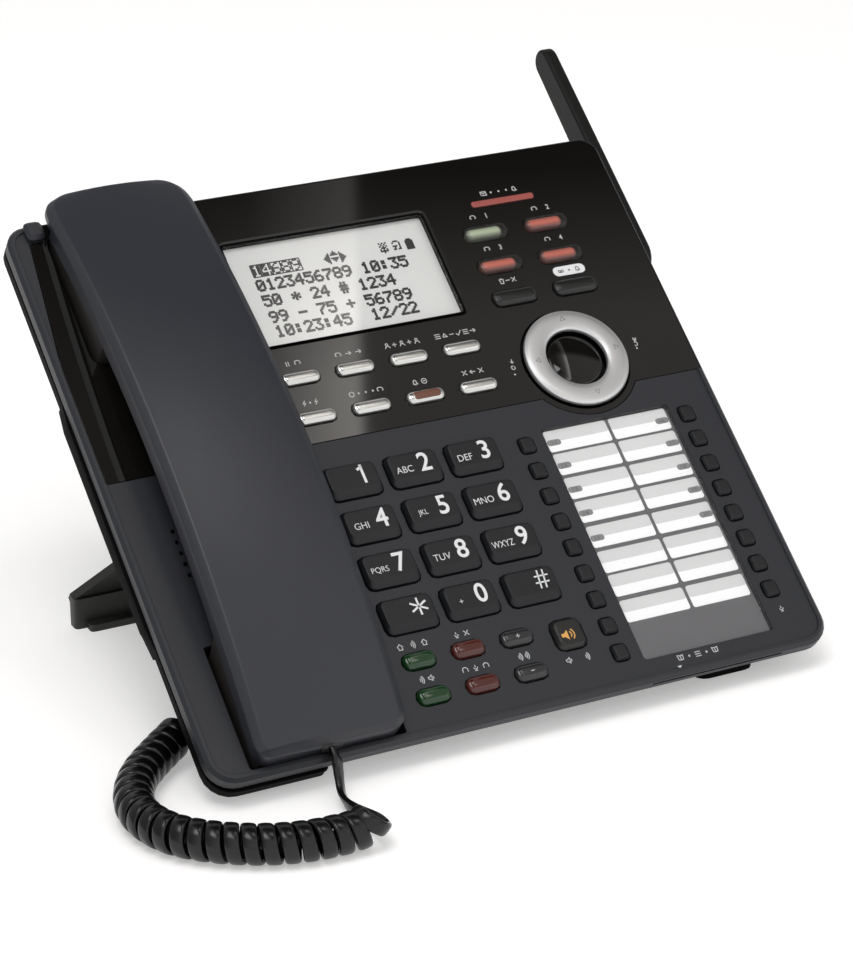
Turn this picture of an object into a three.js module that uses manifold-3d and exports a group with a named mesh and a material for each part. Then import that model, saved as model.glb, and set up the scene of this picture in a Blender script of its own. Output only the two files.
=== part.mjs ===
// Desk telephone with a corded handset, a display, line keys, a dial pad and two strips of memory keys.
// Lengths are millimetres. Each piece is drawn in the frame of the sloping face: x across it, y up it and
// z out of it, with y = 0 on its front edge. The face group then tilts the whole set over the desk.
import * as THREE from 'three';
import { mergeVertices } from 'three/addons/utils/BufferGeometryUtils.js';
import Module from 'manifold-3d';

const wasm = await Module();
wasm.setup();

// Driving dimensions of the body
const tiltDegrees = 37.3;
const tilt = THREE.MathUtils.degToRad(tiltDegrees);
const faceWidth = 220.8;
const faceLength = 206.7;
const frontEdgeHeight = 10.4;
const wallDepth = 5.0;
const wall = 2.2;
const deckThickness = 2.4;
const rimHeight = 0.6;
const rimWidth = 2.4;
const rimChamfer = 1.2;
const wallChamfer = 0.8;
const frontCornerRadius = 9;
const backRightRadius = 6;
const backLeftRadius = 7.5;
const gap = 0.3;
const overrun = 1.5;
const mergeDistance = 1e-4;

// The glossy upper panel and the seam between it and the matt deck
const seamShare = 0.5215;
const seamY = seamShare * faceLength;
const fasciaThickness = 2.0;
const fasciaMargin = 1.9;
const fasciaTaper = 5.2;
const fasciaTaperLength = 50;
const ledgeThickness = 2.0;
const horn = { width: 6.2, length: 7, height: 3.2, radius: 1.6, chamfer: 1.2 };
const ledgeWidth = 4;

// A place on the face as shares of its width, from the middle, and of its length, from the front edge
const onFace = (share) => ({ x: share[0] * faceWidth, y: share[1] * faceLength });

// The bed of the handset: one cup for each end
const cupShare = { centreX: -0.3225, width: 0.2391, mouthBack: 0.2225, earFront: 0.7281 };
const cupCentreX = cupShare.centreX * faceWidth;
const cupWidth = cupShare.width * faceWidth;
const cupWall = 1.6;
const cupRadius = 4;
const earCupRim = 5.2;
const earCup = { front: cupShare.earFront * faceLength, back: faceLength - earCupRim, depth: 13 };
const mouthCup = {
  front: 3.0,
  back: cupShare.mouthBack * faceLength,
  depth: 9,
  slopeTop: 4,
  slopeLength: 5.5,
};

// Each key field has shares of the face: its first key, the steps to the next, the cap in a step, and
// how round the cap's corners are for its length
const dialShare = { first: [-0.1315, 0.4417], step: [0.0996, 0.0803], cap: [0.85, 0.729], round: 0.182 };
const functionShare = { first: [-0.144, 0.6393], step: [0.0894, 0.074], cap: [0.697, 0.301], round: 0.478 };
const lineShare = { first: [0.2464, 0.8457], step: [0.1064, 0.0648], cap: [0.706, 0.448], round: 0.433 };
const commandShare = { first: [-0.1436, 0.1231], step: [0.0784, 0.0612], cap: [0.647, 0.443], round: 0.428 };
const speakerKeyShare = { place: [0.0928, 0.1098], cap: [0.0489, 0.0522], round: 0.241 };
const memoryShare = {
  left: [0.159, 0.4436],
  right: [0.437, 0.4429],
  step: 0.0479,
  cap: [0.0245, 0.586],
  round: 0.207,
};
const fieldOf = (share, columns, rows) => ({
  ...onFace(share.first),
  stepX: share.step[0] * faceWidth,
  stepY: share.step[1] * faceLength,
  columns,
  rows,
});
const capSize = (share) => ({
  width: share.cap[0] * share.step[0] * faceWidth,
  length: share.cap[1] * share.step[1] * faceLength,
  radius: share.round * share.cap[1] * share.step[1] * faceLength,
});
const dialPad = fieldOf(dialShare, 3, 4);
const functionPad = fieldOf(functionShare, 4, 2);
const linePad = fieldOf(lineShare, 2, 3);
const commandPad = fieldOf(commandShare, 3, 2);
const dialCap = { ...capSize(dialShare), rise: 2.3, lip: 3.0, edge: 0.9 };
const functionCap = { ...capSize(functionShare), rise: 1.9, lip: 0.9, edge: 0.9 };
const lineCap = { ...capSize(lineShare), rise: 1.7, lip: 1.1, edge: 1.1 };
const commandCap = { ...capSize(commandShare), rise: 1.8, lip: 1.0, edge: 1.0 };
const speakerKeyPlace = onFace(speakerKeyShare.place);
const speakerCap = {
  width: speakerKeyShare.cap[0] * faceWidth,
  length: speakerKeyShare.cap[1] * faceLength,
  radius: speakerKeyShare.round * speakerKeyShare.cap[1] * faceLength,
  rise: 1.8,
  lip: 1.1,
  edge: 1.1,
};
const memoryStep = memoryShare.step * faceLength;
const memoryCap = {
  width: memoryShare.cap[0] * faceWidth,
  length: memoryShare.cap[1] * memoryStep,
  radius: memoryShare.round * memoryShare.cap[1] * memoryStep,
  rise: 1.4,
  lip: 0.7,
  edge: 0.7,
};
const memoryLeft = { ...onFace(memoryShare.left), count: 9 };
const memoryRight = { ...onFace(memoryShare.right), count: 8 };
const memoryWeb = { side: 1.0, thickness: 1.0, overhang: 1.6 };
const keyClearance = 0.4;
const keyFlange = 1.2;
const keyFlangeThickness = 1.0;
const keyTravel = 1.5;

// Display, lamp and navigation ring
const displayShare = { left: -0.1812, right: 0.1576, front: 0.7059, back: 0.9057 };
const display = {
  left: displayShare.left * faceWidth,
  right: displayShare.right * faceWidth,
  front: displayShare.front * faceLength,
  back: displayShare.back * faceLength,
};
const displayEdge = { radius: 1.2, chamfer: 1.2 };
const displayLens = { thickness: 1.2, recess: 0.5 };
const displayModule = { side: 2.2, front: 4.4, back: 4.3, right: 3.7, bezelRise: 0.4 };
const lampShare = { place: [0.2998, 0.9042], width: 0.1096 };
const lampPlace = onFace(lampShare.place);
const lamp = {
  width: lampShare.width * faceWidth,
  length: 2.4,
  flange: 1.5,
  flangeThickness: 1.5,
  proud: 0.2,
};
const navShare = { place: [0.298, 0.5805], outer: 0.0905, inner: 0.0527, opening: 0.0948, tab: 0.1045 };
const nav = {
  ...onFace(navShare.place),
  outer: navShare.outer * faceLength,
  inner: navShare.inner * faceLength,
  opening: navShare.opening * faceLength,
  tab: navShare.tab * faceLength,
  rise: 2.5,
  lift: 0.5,
};
const navPivot = { inset: 1.2, drop: 2.9, thickness: 1.5, postWidth: 2 };
const navCap = { gap: 0.9, rise: 0.7, edge: 0.5 };
const navSegments = 36;

// Directory card, its clear cover and its track
const cardShare = { centreX: 0.3021, width: 0.2183, front: 0.0402, back: 0.4664 };
const cardCover = {
  centreX: cardShare.centreX * faceWidth,
  width: cardShare.width * faceWidth,
  front: cardShare.front * faceLength,
  back: cardShare.back * faceLength,
  thickness: 1.2,
};
const card = { margin: 0.2, front: 0.6, thickness: 0.5 };
const cardTrack = { margin: 1.3, floor: 1.5 };

// Boards under the keys
const matThickness = 1.2;
const boardThickness = 1.6;
const boardMargin = { cup: 0.8, right: 9.8, front: 10, back: 6.7, mat: 4.8 };
const boardBox = {
  left: cupCentreX + cupWidth / 2 + cupWall + boardMargin.cup,
  right: faceWidth / 2 - boardMargin.right,
  front: boardMargin.front,
  back: faceLength - boardMargin.back,
};
const matBox = { ...boardBox, right: faceWidth / 2 - boardMargin.mat };
const boardPost = { radius: 3, inset: 9, segments: 8 };

// Loudspeaker and its grille
const speakerShare = { place: [-0.3578, 0.3822], rim: 0.0906, cone: 0.0498, magnet: 0.0408 };
const speaker = {
  ...onFace(speakerShare.place),
  rim: speakerShare.rim * faceWidth,
  cone: speakerShare.cone * faceWidth,
  magnet: speakerShare.magnet * faceWidth,
  rimDepth: 2.3,
  coneDepth: 5,
  depth: 12,
};
const grille = { hole: 0.85, pitch: 4.0, rings: 4, holeSides: 6 };

// Lower housing
const bandDepth = 4.6;
const bandChamfer = 1.4;
const bandFloor = 0.95;
const frontSetback = 7;
const cheekShare = { width: 0.1766, length: 0.2225 };
const cheek = { width: cheekShare.width * faceWidth, length: cheekShare.length * faceLength, forward: 0.8 };
const floorHeight = 2.7;
const bellyShare = { heelY: 0.4809, floorBack: 0.2467 };
const bellySetback = { side: 12.4, back: 7.7, shoulder: 3.7 };
const belly = {
  halfWidth: faceWidth / 2 - bellySetback.side,
  depth: 30.5,
  heelY: bellyShare.heelY * faceLength,
  backY: faceLength - bellySetback.back,
  shoulderY: faceLength - bellySetback.shoulder,
  shoulderDepth: 12,
};
const floorSpan = { front: 14, back: bellyShare.floorBack * faceLength };
const bellyWall = 2.0;
const bellyBevel = 3;
const railShare = { front: 0.2419, back: 0.687 };
const rail = {
  flare: 1.6,
  front: railShare.front * faceLength,
  back: railShare.back * faceLength,
  runOut: 9,
  depth: 5,
};
const footShare = { x: 0.3487 };
const foot = { x: footShare.x * faceWidth, y: 15.6, width: 21.5, length: 9, radius: 4 };
const plug = { width: 7.6, height: 5.0, length: 11.5 };
const plugReach = 0.6;
const jack = { clearance: 0.3, wall: 2, deskY: 42, deskZ: 9.5 };
const lineJackShares = [-0.154, -0.0634];
const lineJack = { width: 12.4, height: 9.4, depth: 12, wall: 1.6, centreDepth: 21.5 };
const powerInlet = { width: 9, height: 9, x: 8 };
const ventShare = { length: 0.1645, centreY: 0.774 };
const vent = { width: 2.2, pitch: 6.5, count: 9 };

// Aerial at the right-hand side
const aerialShare = { root: 0.7852, tip: 1.2211 };
const aerial = {
  width: 5,
  sideGap: 0.6,
  drop: 5,
  rootRadius: 6.5,
  tipRadius: 5.1,
  root: aerialShare.root * faceLength,
  tip: aerialShare.tip * faceLength,
};
const pinSegments = 24;
const aerialPin = { radius: 2.5, clearance: 0.3, length: 7 };
const aerialPod = { length: 15, bottomDepth: 18.5 };

// Desk stand
const standShare = { deskY: 0.6715, halfWidth: 0.4574, topHalfWidth: 0.2785, flange: 0.2627, pad: 0.4393 };
const stand = {
  thickness: 3,
  footLength: 6,
  footHeight: 11,
  deskY: standShare.deskY * faceLength,
  halfWidth: standShare.halfWidth * faceWidth,
  topHalfWidth: standShare.topHalfWidth * faceWidth,
};
const standFlange = { halfWidth: standShare.flange * faceWidth, length: 36 };
const standPad = { halfWidth: standShare.pad * faceWidth, length: 4.2, height: 2.5 };
const standRib = { reach: standFlange.length - stand.thickness, drop: 42 };
const standRibShares = [-0.226, 0, 0.226];

// Handset
const handsetShare = { width: 0.2292, peakY: 0.4959 };
const handsetOverhang = 8.1;
const handset = {
  front: 3.1,
  back: faceLength + handsetOverhang,
  width: handsetShare.width * faceWidth,
  peakY: handsetShare.peakY * faceLength,
  peak: 18.9,
  fallFront: 13.1,
  fallBack: 15.4,
};
const handsetSection = { crown: 3.2, shoulder: 1.9, shoulderWidth: 2.6, side: 6, lipSide: 2.6, shell: 2.2 };
const handsetEnd = { radius: 9, chamfer: 2.4 };
const blockGap = { side: 1.8, front: 1.1, back: 1.3, mouthFront: 1.2, mouthBack: 2.2, floor: 0.7 };
const blockHalfWidth = cupWidth / 2 - blockGap.side;
const earBlock = {
  front: earCup.front + blockGap.front,
  back: earCup.back - blockGap.back,
  bottom: earCup.depth - blockGap.floor,
};
const mouthBlock = {
  front: mouthCup.front + blockGap.mouthFront,
  back: mouthCup.back - blockGap.mouthBack,
  bottom: mouthCup.depth - blockGap.floor,
  toeLength: 5.4,
  toeHeight: 3.6,
};
const gripShare = { halfWidth: 0.086 };
const grip = { thickness: 12.4, halfWidth: gripShare.halfWidth * faceWidth, blend: 5.4 };
const capsuleShare = { receiver: 0.8515, microphone: 0.1161, hook: 0.7644 };
const receiver = {
  radius: 16,
  magnetRadius: 11,
  thickness: 6,
  segments: 20,
  y: capsuleShare.receiver * faceLength,
};
const microphone = { radius: 5, thickness: 4, segments: 12, y: capsuleShare.microphone * faceLength };
const hookKey = { width: 6, length: 11.4, rise: 3, flange: 1.5, flangeThickness: 1 };
const hookY = capsuleShare.hook * faceLength;

// Curly cord
const wire = { width: 3.0, thickness: 2.0 };
const coil = { radius: 5.3, turns: 25.5, stepsPerTurn: 8, sides: 5, rampTurns: 0.75, leastGap: 0.4 };
const coilStraight = { start: 3, end: 3.2 };
const tail = { diameter: 2.6, sides: 8, step: 6.2 };

// Route of the coil's axis from the socket in the left wall, round on the desk to the front
const coilRoute = [
  [-98.5, 42, 9.5], [-101.8, 42, 9.3], [-107.5, 39.6, 7.4], [-113.9, 34.9, 6.6], [-120.6, 28.9, 6.5],
  [-125.7, 23.2, 6.5], [-130.9, 14.2, 6.5], [-133.4, 5.2, 6.5], [-132.8, -4, 6.5], [-129.2, -13.1, 6.5],
  [-122.5, -20.8, 6.5], [-113.9, -27.2, 6.5], [-104.9, -31.8, 6.5], [-94.8, -34.7, 6.5], [-85.5, -35.6, 6.5],
  [-79, -35.6, 6.5], [-74.4, -35.2, 6.5],
];

// Route of the straight stretch from the bottom of the last turn up to the plug in the handset
const tailRoute = [
  [-74.2, -19.5, 1.6], [-73.6, -13.6, 1.7], [-72.6, -8.6, 2.5], [-71.7, -5.3, 5.6], [-71.3, -3.6, 9],
];

// Finishes
const matt = new THREE.MeshStandardMaterial({ color: 0x25282d, roughness: 0.5, metalness: 0 });
const darkMatt = new THREE.MeshStandardMaterial({ color: 0x1b1d20, roughness: 0.6, metalness: 0 });
const gloss = new THREE.MeshStandardMaterial({ color: 0x17130f, roughness: 0.12, metalness: 0 });
const keyBlack = new THREE.MeshStandardMaterial({ color: 0x202226, roughness: 0.45, metalness: 0 });
const silver = new THREE.MeshStandardMaterial({ color: 0xc8c8c6, roughness: 0.3, metalness: 0.8 });
const redLens = new THREE.MeshStandardMaterial({ color: 0xb2493c, roughness: 0.2, metalness: 0 });
const greenLens = new THREE.MeshStandardMaterial({ color: 0x3c7a3a, roughness: 0.2, metalness: 0 });
const clear = new THREE.MeshStandardMaterial({ color: 0xd8dcd8, roughness: 0.05, metalness: 0 });
const paper = new THREE.MeshStandardMaterial({ color: 0xeeeeec, roughness: 0.8, metalness: 0 });
const green = new THREE.MeshStandardMaterial({ color: 0x2f6b3c, roughness: 0.6, metalness: 0 });
const rubber = new THREE.MeshStandardMaterial({ color: 0x1a1a1a, roughness: 0.8, metalness: 0 });
const glossCord = new THREE.MeshStandardMaterial({ color: 0x0f100f, roughness: 0.2, metalness: 0 });
const steel = new THREE.MeshStandardMaterial({ color: 0x8c8e90, roughness: 0.4, metalness: 0.9 });

// Derived levels and boxes
const faceBox = { left: -faceWidth / 2, right: faceWidth / 2, front: 0, back: faceLength };
const faceRadii = [frontCornerRadius, frontCornerRadius, backRightRadius, backLeftRadius];
const ledgeTop = -fasciaThickness - gap;
const ledgeBottom = ledgeTop - ledgeThickness;
const bandTop = -wallDepth - gap;
const bandBottom = bandTop - bandDepth;
const flangeBottom = -deckThickness - gap - keyFlangeThickness;
const matTop = flangeBottom - keyTravel - gap;
const matBottom = matTop - matThickness;
const boardTop = matBottom - gap;
const boardBottom = boardTop - boardThickness;
const cupLeft = cupCentreX - cupWidth / 2;
const cupRight = cupCentreX + cupWidth / 2;

// Joining and cutting

// Turns any closed geometry into a solid for cutting, positions only, with its faces turned outwards.
function solid(geometry) {
  const bare = geometry.clone();
  bare.deleteAttribute('normal');
  bare.deleteAttribute('uv');
  const merged = mergeVertices(bare, mergeDistance);
  const vertProperties = new Float32Array(merged.attributes.position.array);
  const triVerts = new Uint32Array(merged.index.array);
  const corner = (i) => new THREE.Vector3().fromArray(vertProperties, 3 * triVerts[i]);
  let volume = 0;
  for (let i = 0; i < triVerts.length; i += 3) volume += corner(i).dot(corner(i + 1).cross(corner(i + 2)));
  if (volume < 0) triVerts.reverse();
  return new wasm.Manifold(new wasm.Mesh({ numProp: 3, vertProperties, triVerts }));
}

function geometryOf(body) {
  const mesh = body.getMesh();
  const stride = mesh.numProp;
  const count = mesh.vertProperties.length / stride;
  const positions = new Float32Array(count * 3);
  for (let i = 0; i < count; i++) {
    for (let k = 0; k < 3; k++) positions[3 * i + k] = mesh.vertProperties[stride * i + k];
  }
  const geometry = new THREE.BufferGeometry();
  geometry.setAttribute('position', new THREE.BufferAttribute(positions, 3));
  geometry.setIndex([...mesh.triVerts]);
  geometry.computeVertexNormals();
  return geometry;
}

const joined = (bodies) => bodies.reduce((sum, body) => sum.add(body));
const without = (body, cuts) => cuts.reduce((rest, cut) => rest.subtract(cut), body);

// Skins a row of closed rings that hold equally many points, with a flat cap at both ends.
function loft(rings, capAxes) {
  const sides = rings[0].length;
  const positions = rings.flat().flatMap((point) => [point.x, point.y, point.z]);
  const index = [];
  for (let r = 0; r + 1 < rings.length; r++) {
    for (let i = 0; i < sides; i++) {
      const a = r * sides + i;
      const b = r * sides + ((i + 1) % sides);
      index.push(a, b, b + sides, a, b + sides, a + sides);
    }
  }
  const [first, second] = capAxes;
  const ends = [[rings[0], 0, true], [rings.at(-1), (rings.length - 1) * sides, false]];
  for (const [ring, start, flip] of ends) {
    const contour = ring.map((point) => new THREE.Vector2(point[first], point[second]));
    const turned = THREE.ShapeUtils.isClockWise(contour);
    for (const [a, b, c] of THREE.ShapeUtils.triangulateShape(contour, [])) {
      const swap = flip !== turned;
      index.push(start + a, start + (swap ? c : b), start + (swap ? b : c));
    }
  }
  const geometry = new THREE.BufferGeometry();
  geometry.setAttribute('position', new THREE.BufferAttribute(new Float32Array(positions), 3));
  geometry.setIndex(index);
  return geometry;
}

// A rounded rectangle at height z, its corners turned front left, front right, back right, back left.
function roundedRing(box, radii, inset, z, steps = 4) {
  const corners = [
    [box.left, box.front, 1, 1, Math.PI],
    [box.right, box.front, -1, 1, 1.5 * Math.PI],
    [box.right, box.back, -1, -1, 0],
    [box.left, box.back, 1, -1, 0.5 * Math.PI],
  ];
  return corners.flatMap(([x, y, towardX, towardY, start], corner) => {
    const radius = Math.max(radii[corner], inset + gap);
    const arc = [];
    for (let i = 0; i <= steps; i++) {
      const angle = start + (i / steps) * 0.5 * Math.PI;
      arc.push(new THREE.Vector3(
        x + towardX * radius + (radius - inset) * Math.cos(angle),
        y + towardY * radius + (radius - inset) * Math.sin(angle),
        z,
      ));
    }
    return arc;
  });
}

// A stack of rounded rectangles given as [inset, z] pairs from the bottom up.
function stack(box, radii, levels, steps) {
  return solid(loft(levels.map(([inset, z]) => roundedRing(box, radii, inset, z, steps)), ['x', 'y']));
}

const centredBox = (x, y, width, length) => ({
  left: x - width / 2,
  right: x + width / 2,
  front: y - length / 2,
  back: y + length / 2,
});

const grown = (box, margin) => ({
  left: box.left - margin,
  right: box.right + margin,
  front: box.front - margin,
  back: box.back + margin,
});

const four = (radius) => [radius, radius, radius, radius];

function block(box, bottom, top) {
  const geometry = new THREE.BoxGeometry(box.right - box.left, box.back - box.front, top - bottom);
  geometry.translate((box.left + box.right) / 2, (box.front + box.back) / 2, (bottom + top) / 2);
  return solid(geometry);
}

// A side profile of [y, z] points, carried across from x = left to x = right.
function acrossProfile(points, left, right, bevel = 0) {
  const shape = new THREE.Shape(points.map(([y, z]) => new THREE.Vector2(y, z)));
  const geometry = new THREE.ExtrudeGeometry(shape, {
    depth: right - left - 2 * bevel,
    bevelEnabled: bevel > 0,
    bevelThickness: bevel,
    bevelSize: bevel,
    bevelOffset: -bevel,
    bevelSegments: 1,
    curveSegments: 6,
  });
  const toAcross = new THREE.Matrix4().makeBasis(
    new THREE.Vector3(0, 1, 0),
    new THREE.Vector3(0, 0, 1),
    new THREE.Vector3(1, 0, 0),
  );
  geometry.applyMatrix4(toAcross);
  geometry.translate(left + bevel, 0, 0);
  return solid(geometry);
}

// Moves each side of a convex profile inwards by the wall and meets the moved sides again.
function insetProfile(points, distance) {
  const middle = points.reduce((sum, [y, z]) => sum.add(new THREE.Vector2(y, z)), new THREE.Vector2());
  middle.divideScalar(points.length);
  const lines = points.map(([y, z], i) => {
    const [nextY, nextZ] = points[(i + 1) % points.length];
    const normal = new THREE.Vector2(z - nextZ, nextY - y).normalize();
    if (normal.dot(middle.clone().sub(new THREE.Vector2(y, z))) < 0) normal.negate();
    return { normal, offset: normal.x * y + normal.y * z + distance };
  });
  return lines.map((line, i) => {
    const before = lines[(i + lines.length - 1) % lines.length];
    const cross = before.normal.x * line.normal.y - before.normal.y * line.normal.x;
    return [
      (before.offset * line.normal.y - line.offset * before.normal.y) / cross,
      (line.offset * before.normal.x - before.offset * line.normal.x) / cross,
    ];
  });
}

// A closed section of [radius, z] points turned about the z direction at a place on the face.
function turned(section, x, y, segments) {
  const profile = section.map(([radius, z]) => new THREE.Vector2(radius, z));
  const geometry = new THREE.LatheGeometry([...profile, profile[0]], segments);
  geometry.rotateX(Math.PI / 2);
  geometry.translate(x, y, 0);
  const body = solid(geometry);
  return body;
}

function cylinderAcross(radius, left, right, y, z, segments) {
  const geometry = new THREE.CylinderGeometry(radius, radius, right - left, segments);
  geometry.rotateZ(Math.PI / 2);
  geometry.translate((left + right) / 2, y, z);
  return solid(geometry);
}

function post(radius, x, y, bottom, top, segments) {
  const geometry = new THREE.CylinderGeometry(radius, radius, top - bottom, segments);
  geometry.rotateX(Math.PI / 2);
  geometry.translate(x, y, (bottom + top) / 2);
  return solid(geometry);
}

// A place over the desk, depth back from the front edge and height, in the frame of the face.
function fromDesk(deskY, deskZ) {
  const rise = deskZ - frontEdgeHeight;
  return [
    deskY * Math.cos(tilt) + rise * Math.sin(tilt),
    -deskY * Math.sin(tilt) + rise * Math.cos(tilt),
  ];
}

function deskBlock(left, right, front, back, bottom, top, radius) {
  const body = stack({ left, right, front, back }, four(radius), [[0, bottom], [0, top]], 3);
  const turnedBody = body.translate([0, 0, -frontEdgeHeight]).rotate([-THREE.MathUtils.radToDeg(tilt), 0, 0]);
  return turnedBody;
}

const face = new THREE.Group();
face.rotation.x = tilt;
face.position.z = frontEdgeHeight;
face.name = 'face';

function add(name, body, look, parent = face) {
  const mesh = new THREE.Mesh(body instanceof THREE.BufferGeometry ? body : geometryOf(body), look);
  mesh.name = name;
  parent.add(mesh);
  return mesh;
}

// Key fields as lists of places, row by row from the top left
function fieldPlaces(field) {
  const places = [];
  for (let row = 0; row < field.rows; row++) {
    for (let column = 0; column < field.columns; column++) {
      places.push({ x: field.x + column * field.stepX, y: field.y - row * field.stepY });
    }
  }
  return places;
}

function stripPlaces(strip) {
  return Array.from({ length: strip.count }, (_, i) => ({ x: strip.x, y: strip.y - i * memoryStep }));
}

const dialPlaces = fieldPlaces(dialPad);
const functionPlaces = fieldPlaces(functionPad);
const linePlaces = fieldPlaces(linePad);
const commandPlaces = fieldPlaces(commandPad);
const memoryLeftPlaces = stripPlaces(memoryLeft);
const memoryRightPlaces = stripPlaces(memoryRight);

function keyOpening(place, cap, bottom, top) {
  const box = grown(centredBox(place.x, place.y, cap.width, cap.length), keyClearance);
  return stack(box, four(cap.radius + keyClearance), [[0, bottom], [0, top]], 2);
}

// A cap stands straight up through the plate, then slopes in, with the widest slope at its front.
function capSolid(place, cap, bottom) {
  const box = centredBox(place.x, place.y, cap.width, cap.length);
  const top = { ...grown(box, -cap.edge), front: box.front + cap.lip };
  const topRadii = four(Math.max(cap.radius - cap.edge, gap));
  const shoulder = cap.rise - cap.edge;
  const rings = [
    roundedRing(box, four(cap.radius), 0, bottom, 2),
    roundedRing(box, four(cap.radius), 0, shoulder / 2, 2),
    roundedRing(top, topRadii, 0, cap.rise, 2),
  ];
  return solid(loft(rings, ['x', 'y']));
}

function addKey(name, place, cap, plate, look) {
  const flangeTop = -plate - gap;
  const box = centredBox(place.x, place.y, cap.width, cap.length);
  const flange = block(grown(box, keyFlange), flangeTop - keyFlangeThickness, flangeTop);
  add(name, joined([flange, capSolid(place, cap, flangeTop - keyFlangeThickness / 2)]), look);
}

// Both cups as closed blocks, grown outwards: the upper housing adds them and the lower one makes room
const earBox = { left: cupLeft, right: cupRight, front: earCup.front, back: earCup.back };

function earBlockOf(growth, top) {
  return stack(grown(earBox, growth), four(cupRadius + growth), [[0, -earCup.depth - growth], [0, top]], 3);
}

function mouthBlockOf(growth, top) {
  const slope = Math.atan2(mouthCup.depth - mouthCup.slopeTop, mouthCup.slopeLength);
  const slopeShare = Math.tan((Math.PI / 2 - slope) / 2);
  const points = [
    [mouthCup.front - growth, top],
    [mouthCup.front - growth, -mouthCup.slopeTop - growth * slopeShare],
    [mouthCup.front + mouthCup.slopeLength - growth * slopeShare, -mouthCup.depth - growth],
    [mouthCup.back + growth, -mouthCup.depth - growth],
    [mouthCup.back + growth, top],
  ];
  return acrossProfile(points, cupLeft - growth, cupRight + growth, rimHeight);
}

// Upper housing: rimmed deck, ledge under the glossy panel, both cups and the card track
function upperHousing() {
  const shell = stack(faceBox, faceRadii,
    [[wallChamfer, -wallDepth], [0, -wallDepth + wallChamfer], [0, -rimHeight], [rimChamfer, rimHeight]], 6);
  const deckCut = stack(faceBox, faceRadii, [[rimWidth, 0], [rimWidth, rimHeight + overrun]], 6);
  const lowerCavity = stack(
    { ...faceBox, back: seamY - ledgeWidth },
    four(frontCornerRadius),
    [[wall, -wallDepth - overrun], [wall, -deckThickness]],
    4,
  );
  const upperCavity = stack(
    { ...faceBox, front: seamY - ledgeWidth - wall },
    [wall, wall, backRightRadius, backLeftRadius],
    [[wall, -wallDepth - overrun], [wall, ledgeBottom]],
    4,
  );
  const windowBox = {
    left: cupRight + cupWall + gap,
    right: faceBox.right - wall - ledgeWidth,
    front: seamY + ledgeWidth,
    back: faceBox.back - wall - ledgeWidth / 2,
  };
  const window = stack(windowBox, four(wall), [[0, ledgeBottom - overrun], [0, overrun]], 2);
  const navHole = turned([[0, ledgeBottom - overrun], [nav.tab + gap, ledgeBottom - overrun],
    [nav.tab + gap, overrun], [0, overrun]], nav.x, nav.y, navSegments);
  const fasciaBed = fasciaSolid(gap, ledgeTop, overrun);

  const earBasin = earBlockOf(cupWall, ledgeTop);
  const earHollow = earBlockOf(0, rimHeight + overrun);
  const hookHole = stack(
    grown(centredBox(cupCentreX, hookY, hookKey.width, hookKey.length), keyClearance),
    four(keyClearance + wall),
    [[0, -earCup.depth - cupWall - overrun], [0, -earCup.depth + overrun]],
    2,
  );
  const mouthBasin = mouthBlockOf(cupWall, -rimHeight);
  const mouthHollow = mouthBlockOf(0, rimHeight + overrun);

  const trackBox = {
    ...centredBox(cardCover.centreX, 0, cardCover.width + 2 * gap, 0),
    front: cardCover.front - gap,
    back: cardCover.back + gap,
  };
  const trackFloorTop = -cardCover.thickness - card.thickness - 2 * gap;
  const trackPad = block(
    { ...grown(trackBox, cardTrack.margin), front: wall },
    trackFloorTop - cardTrack.floor,
    -deckThickness + gap,
  );
  const coverWell = stack(trackBox, four(wall / 2), [[0, trackFloorTop], [0, overrun]], 2);
  const slot = block(
    { left: trackBox.left, right: trackBox.right, front: -overrun, back: trackBox.front + overrun },
    trackFloorTop,
    -cardCover.thickness,
  );

  const keyCuts = [
    ...dialPlaces.map((place) => keyOpening(place, dialCap, -deckThickness - overrun, overrun)),
    ...commandPlaces.map((place) => keyOpening(place, commandCap, -deckThickness - overrun, overrun)),
    keyOpening(speakerKeyPlace, speakerCap, -deckThickness - overrun, overrun),
    ...[...memoryLeftPlaces, ...memoryRightPlaces].map(
      (place) => keyOpening(place, memoryCap, -deckThickness - overrun, overrun)),
  ];
  const holes = [];
  for (let q = -grille.rings; q <= grille.rings; q++) {
    for (let r = -grille.rings; r <= grille.rings; r++) {
      if (Math.abs(q + r) > grille.rings) continue;
      const x = speaker.x + grille.pitch * r * Math.sin(Math.PI / 3);
      const y = speaker.y + grille.pitch * (q + r / 2);
      holes.push(post(grille.hole, x, y, -deckThickness - overrun, overrun, grille.holeSides));
    }
  }
  const plate = without(shell, [deckCut, lowerCavity, upperCavity]);
  const withBasins = joined([plate, earBasin, mouthBasin, trackPad, hornBody]);
  return without(withBasins, [fasciaBed, window, navHole, earHollow, hookHole, mouthHollow, coverWell, slot,
    ...keyCuts, ...holes]);
}

// A low horn of the deck beside the ear cup
const hornBox = {
  left: cupLeft - horn.width,
  right: cupLeft,
  front: faceBox.back - horn.length,
  back: faceBox.back,
};
const hornBody = stack(hornBox, four(horn.radius),
  [[0, -deckThickness], [0, horn.height - horn.chamfer], [horn.chamfer, horn.height]], 2);

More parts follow.
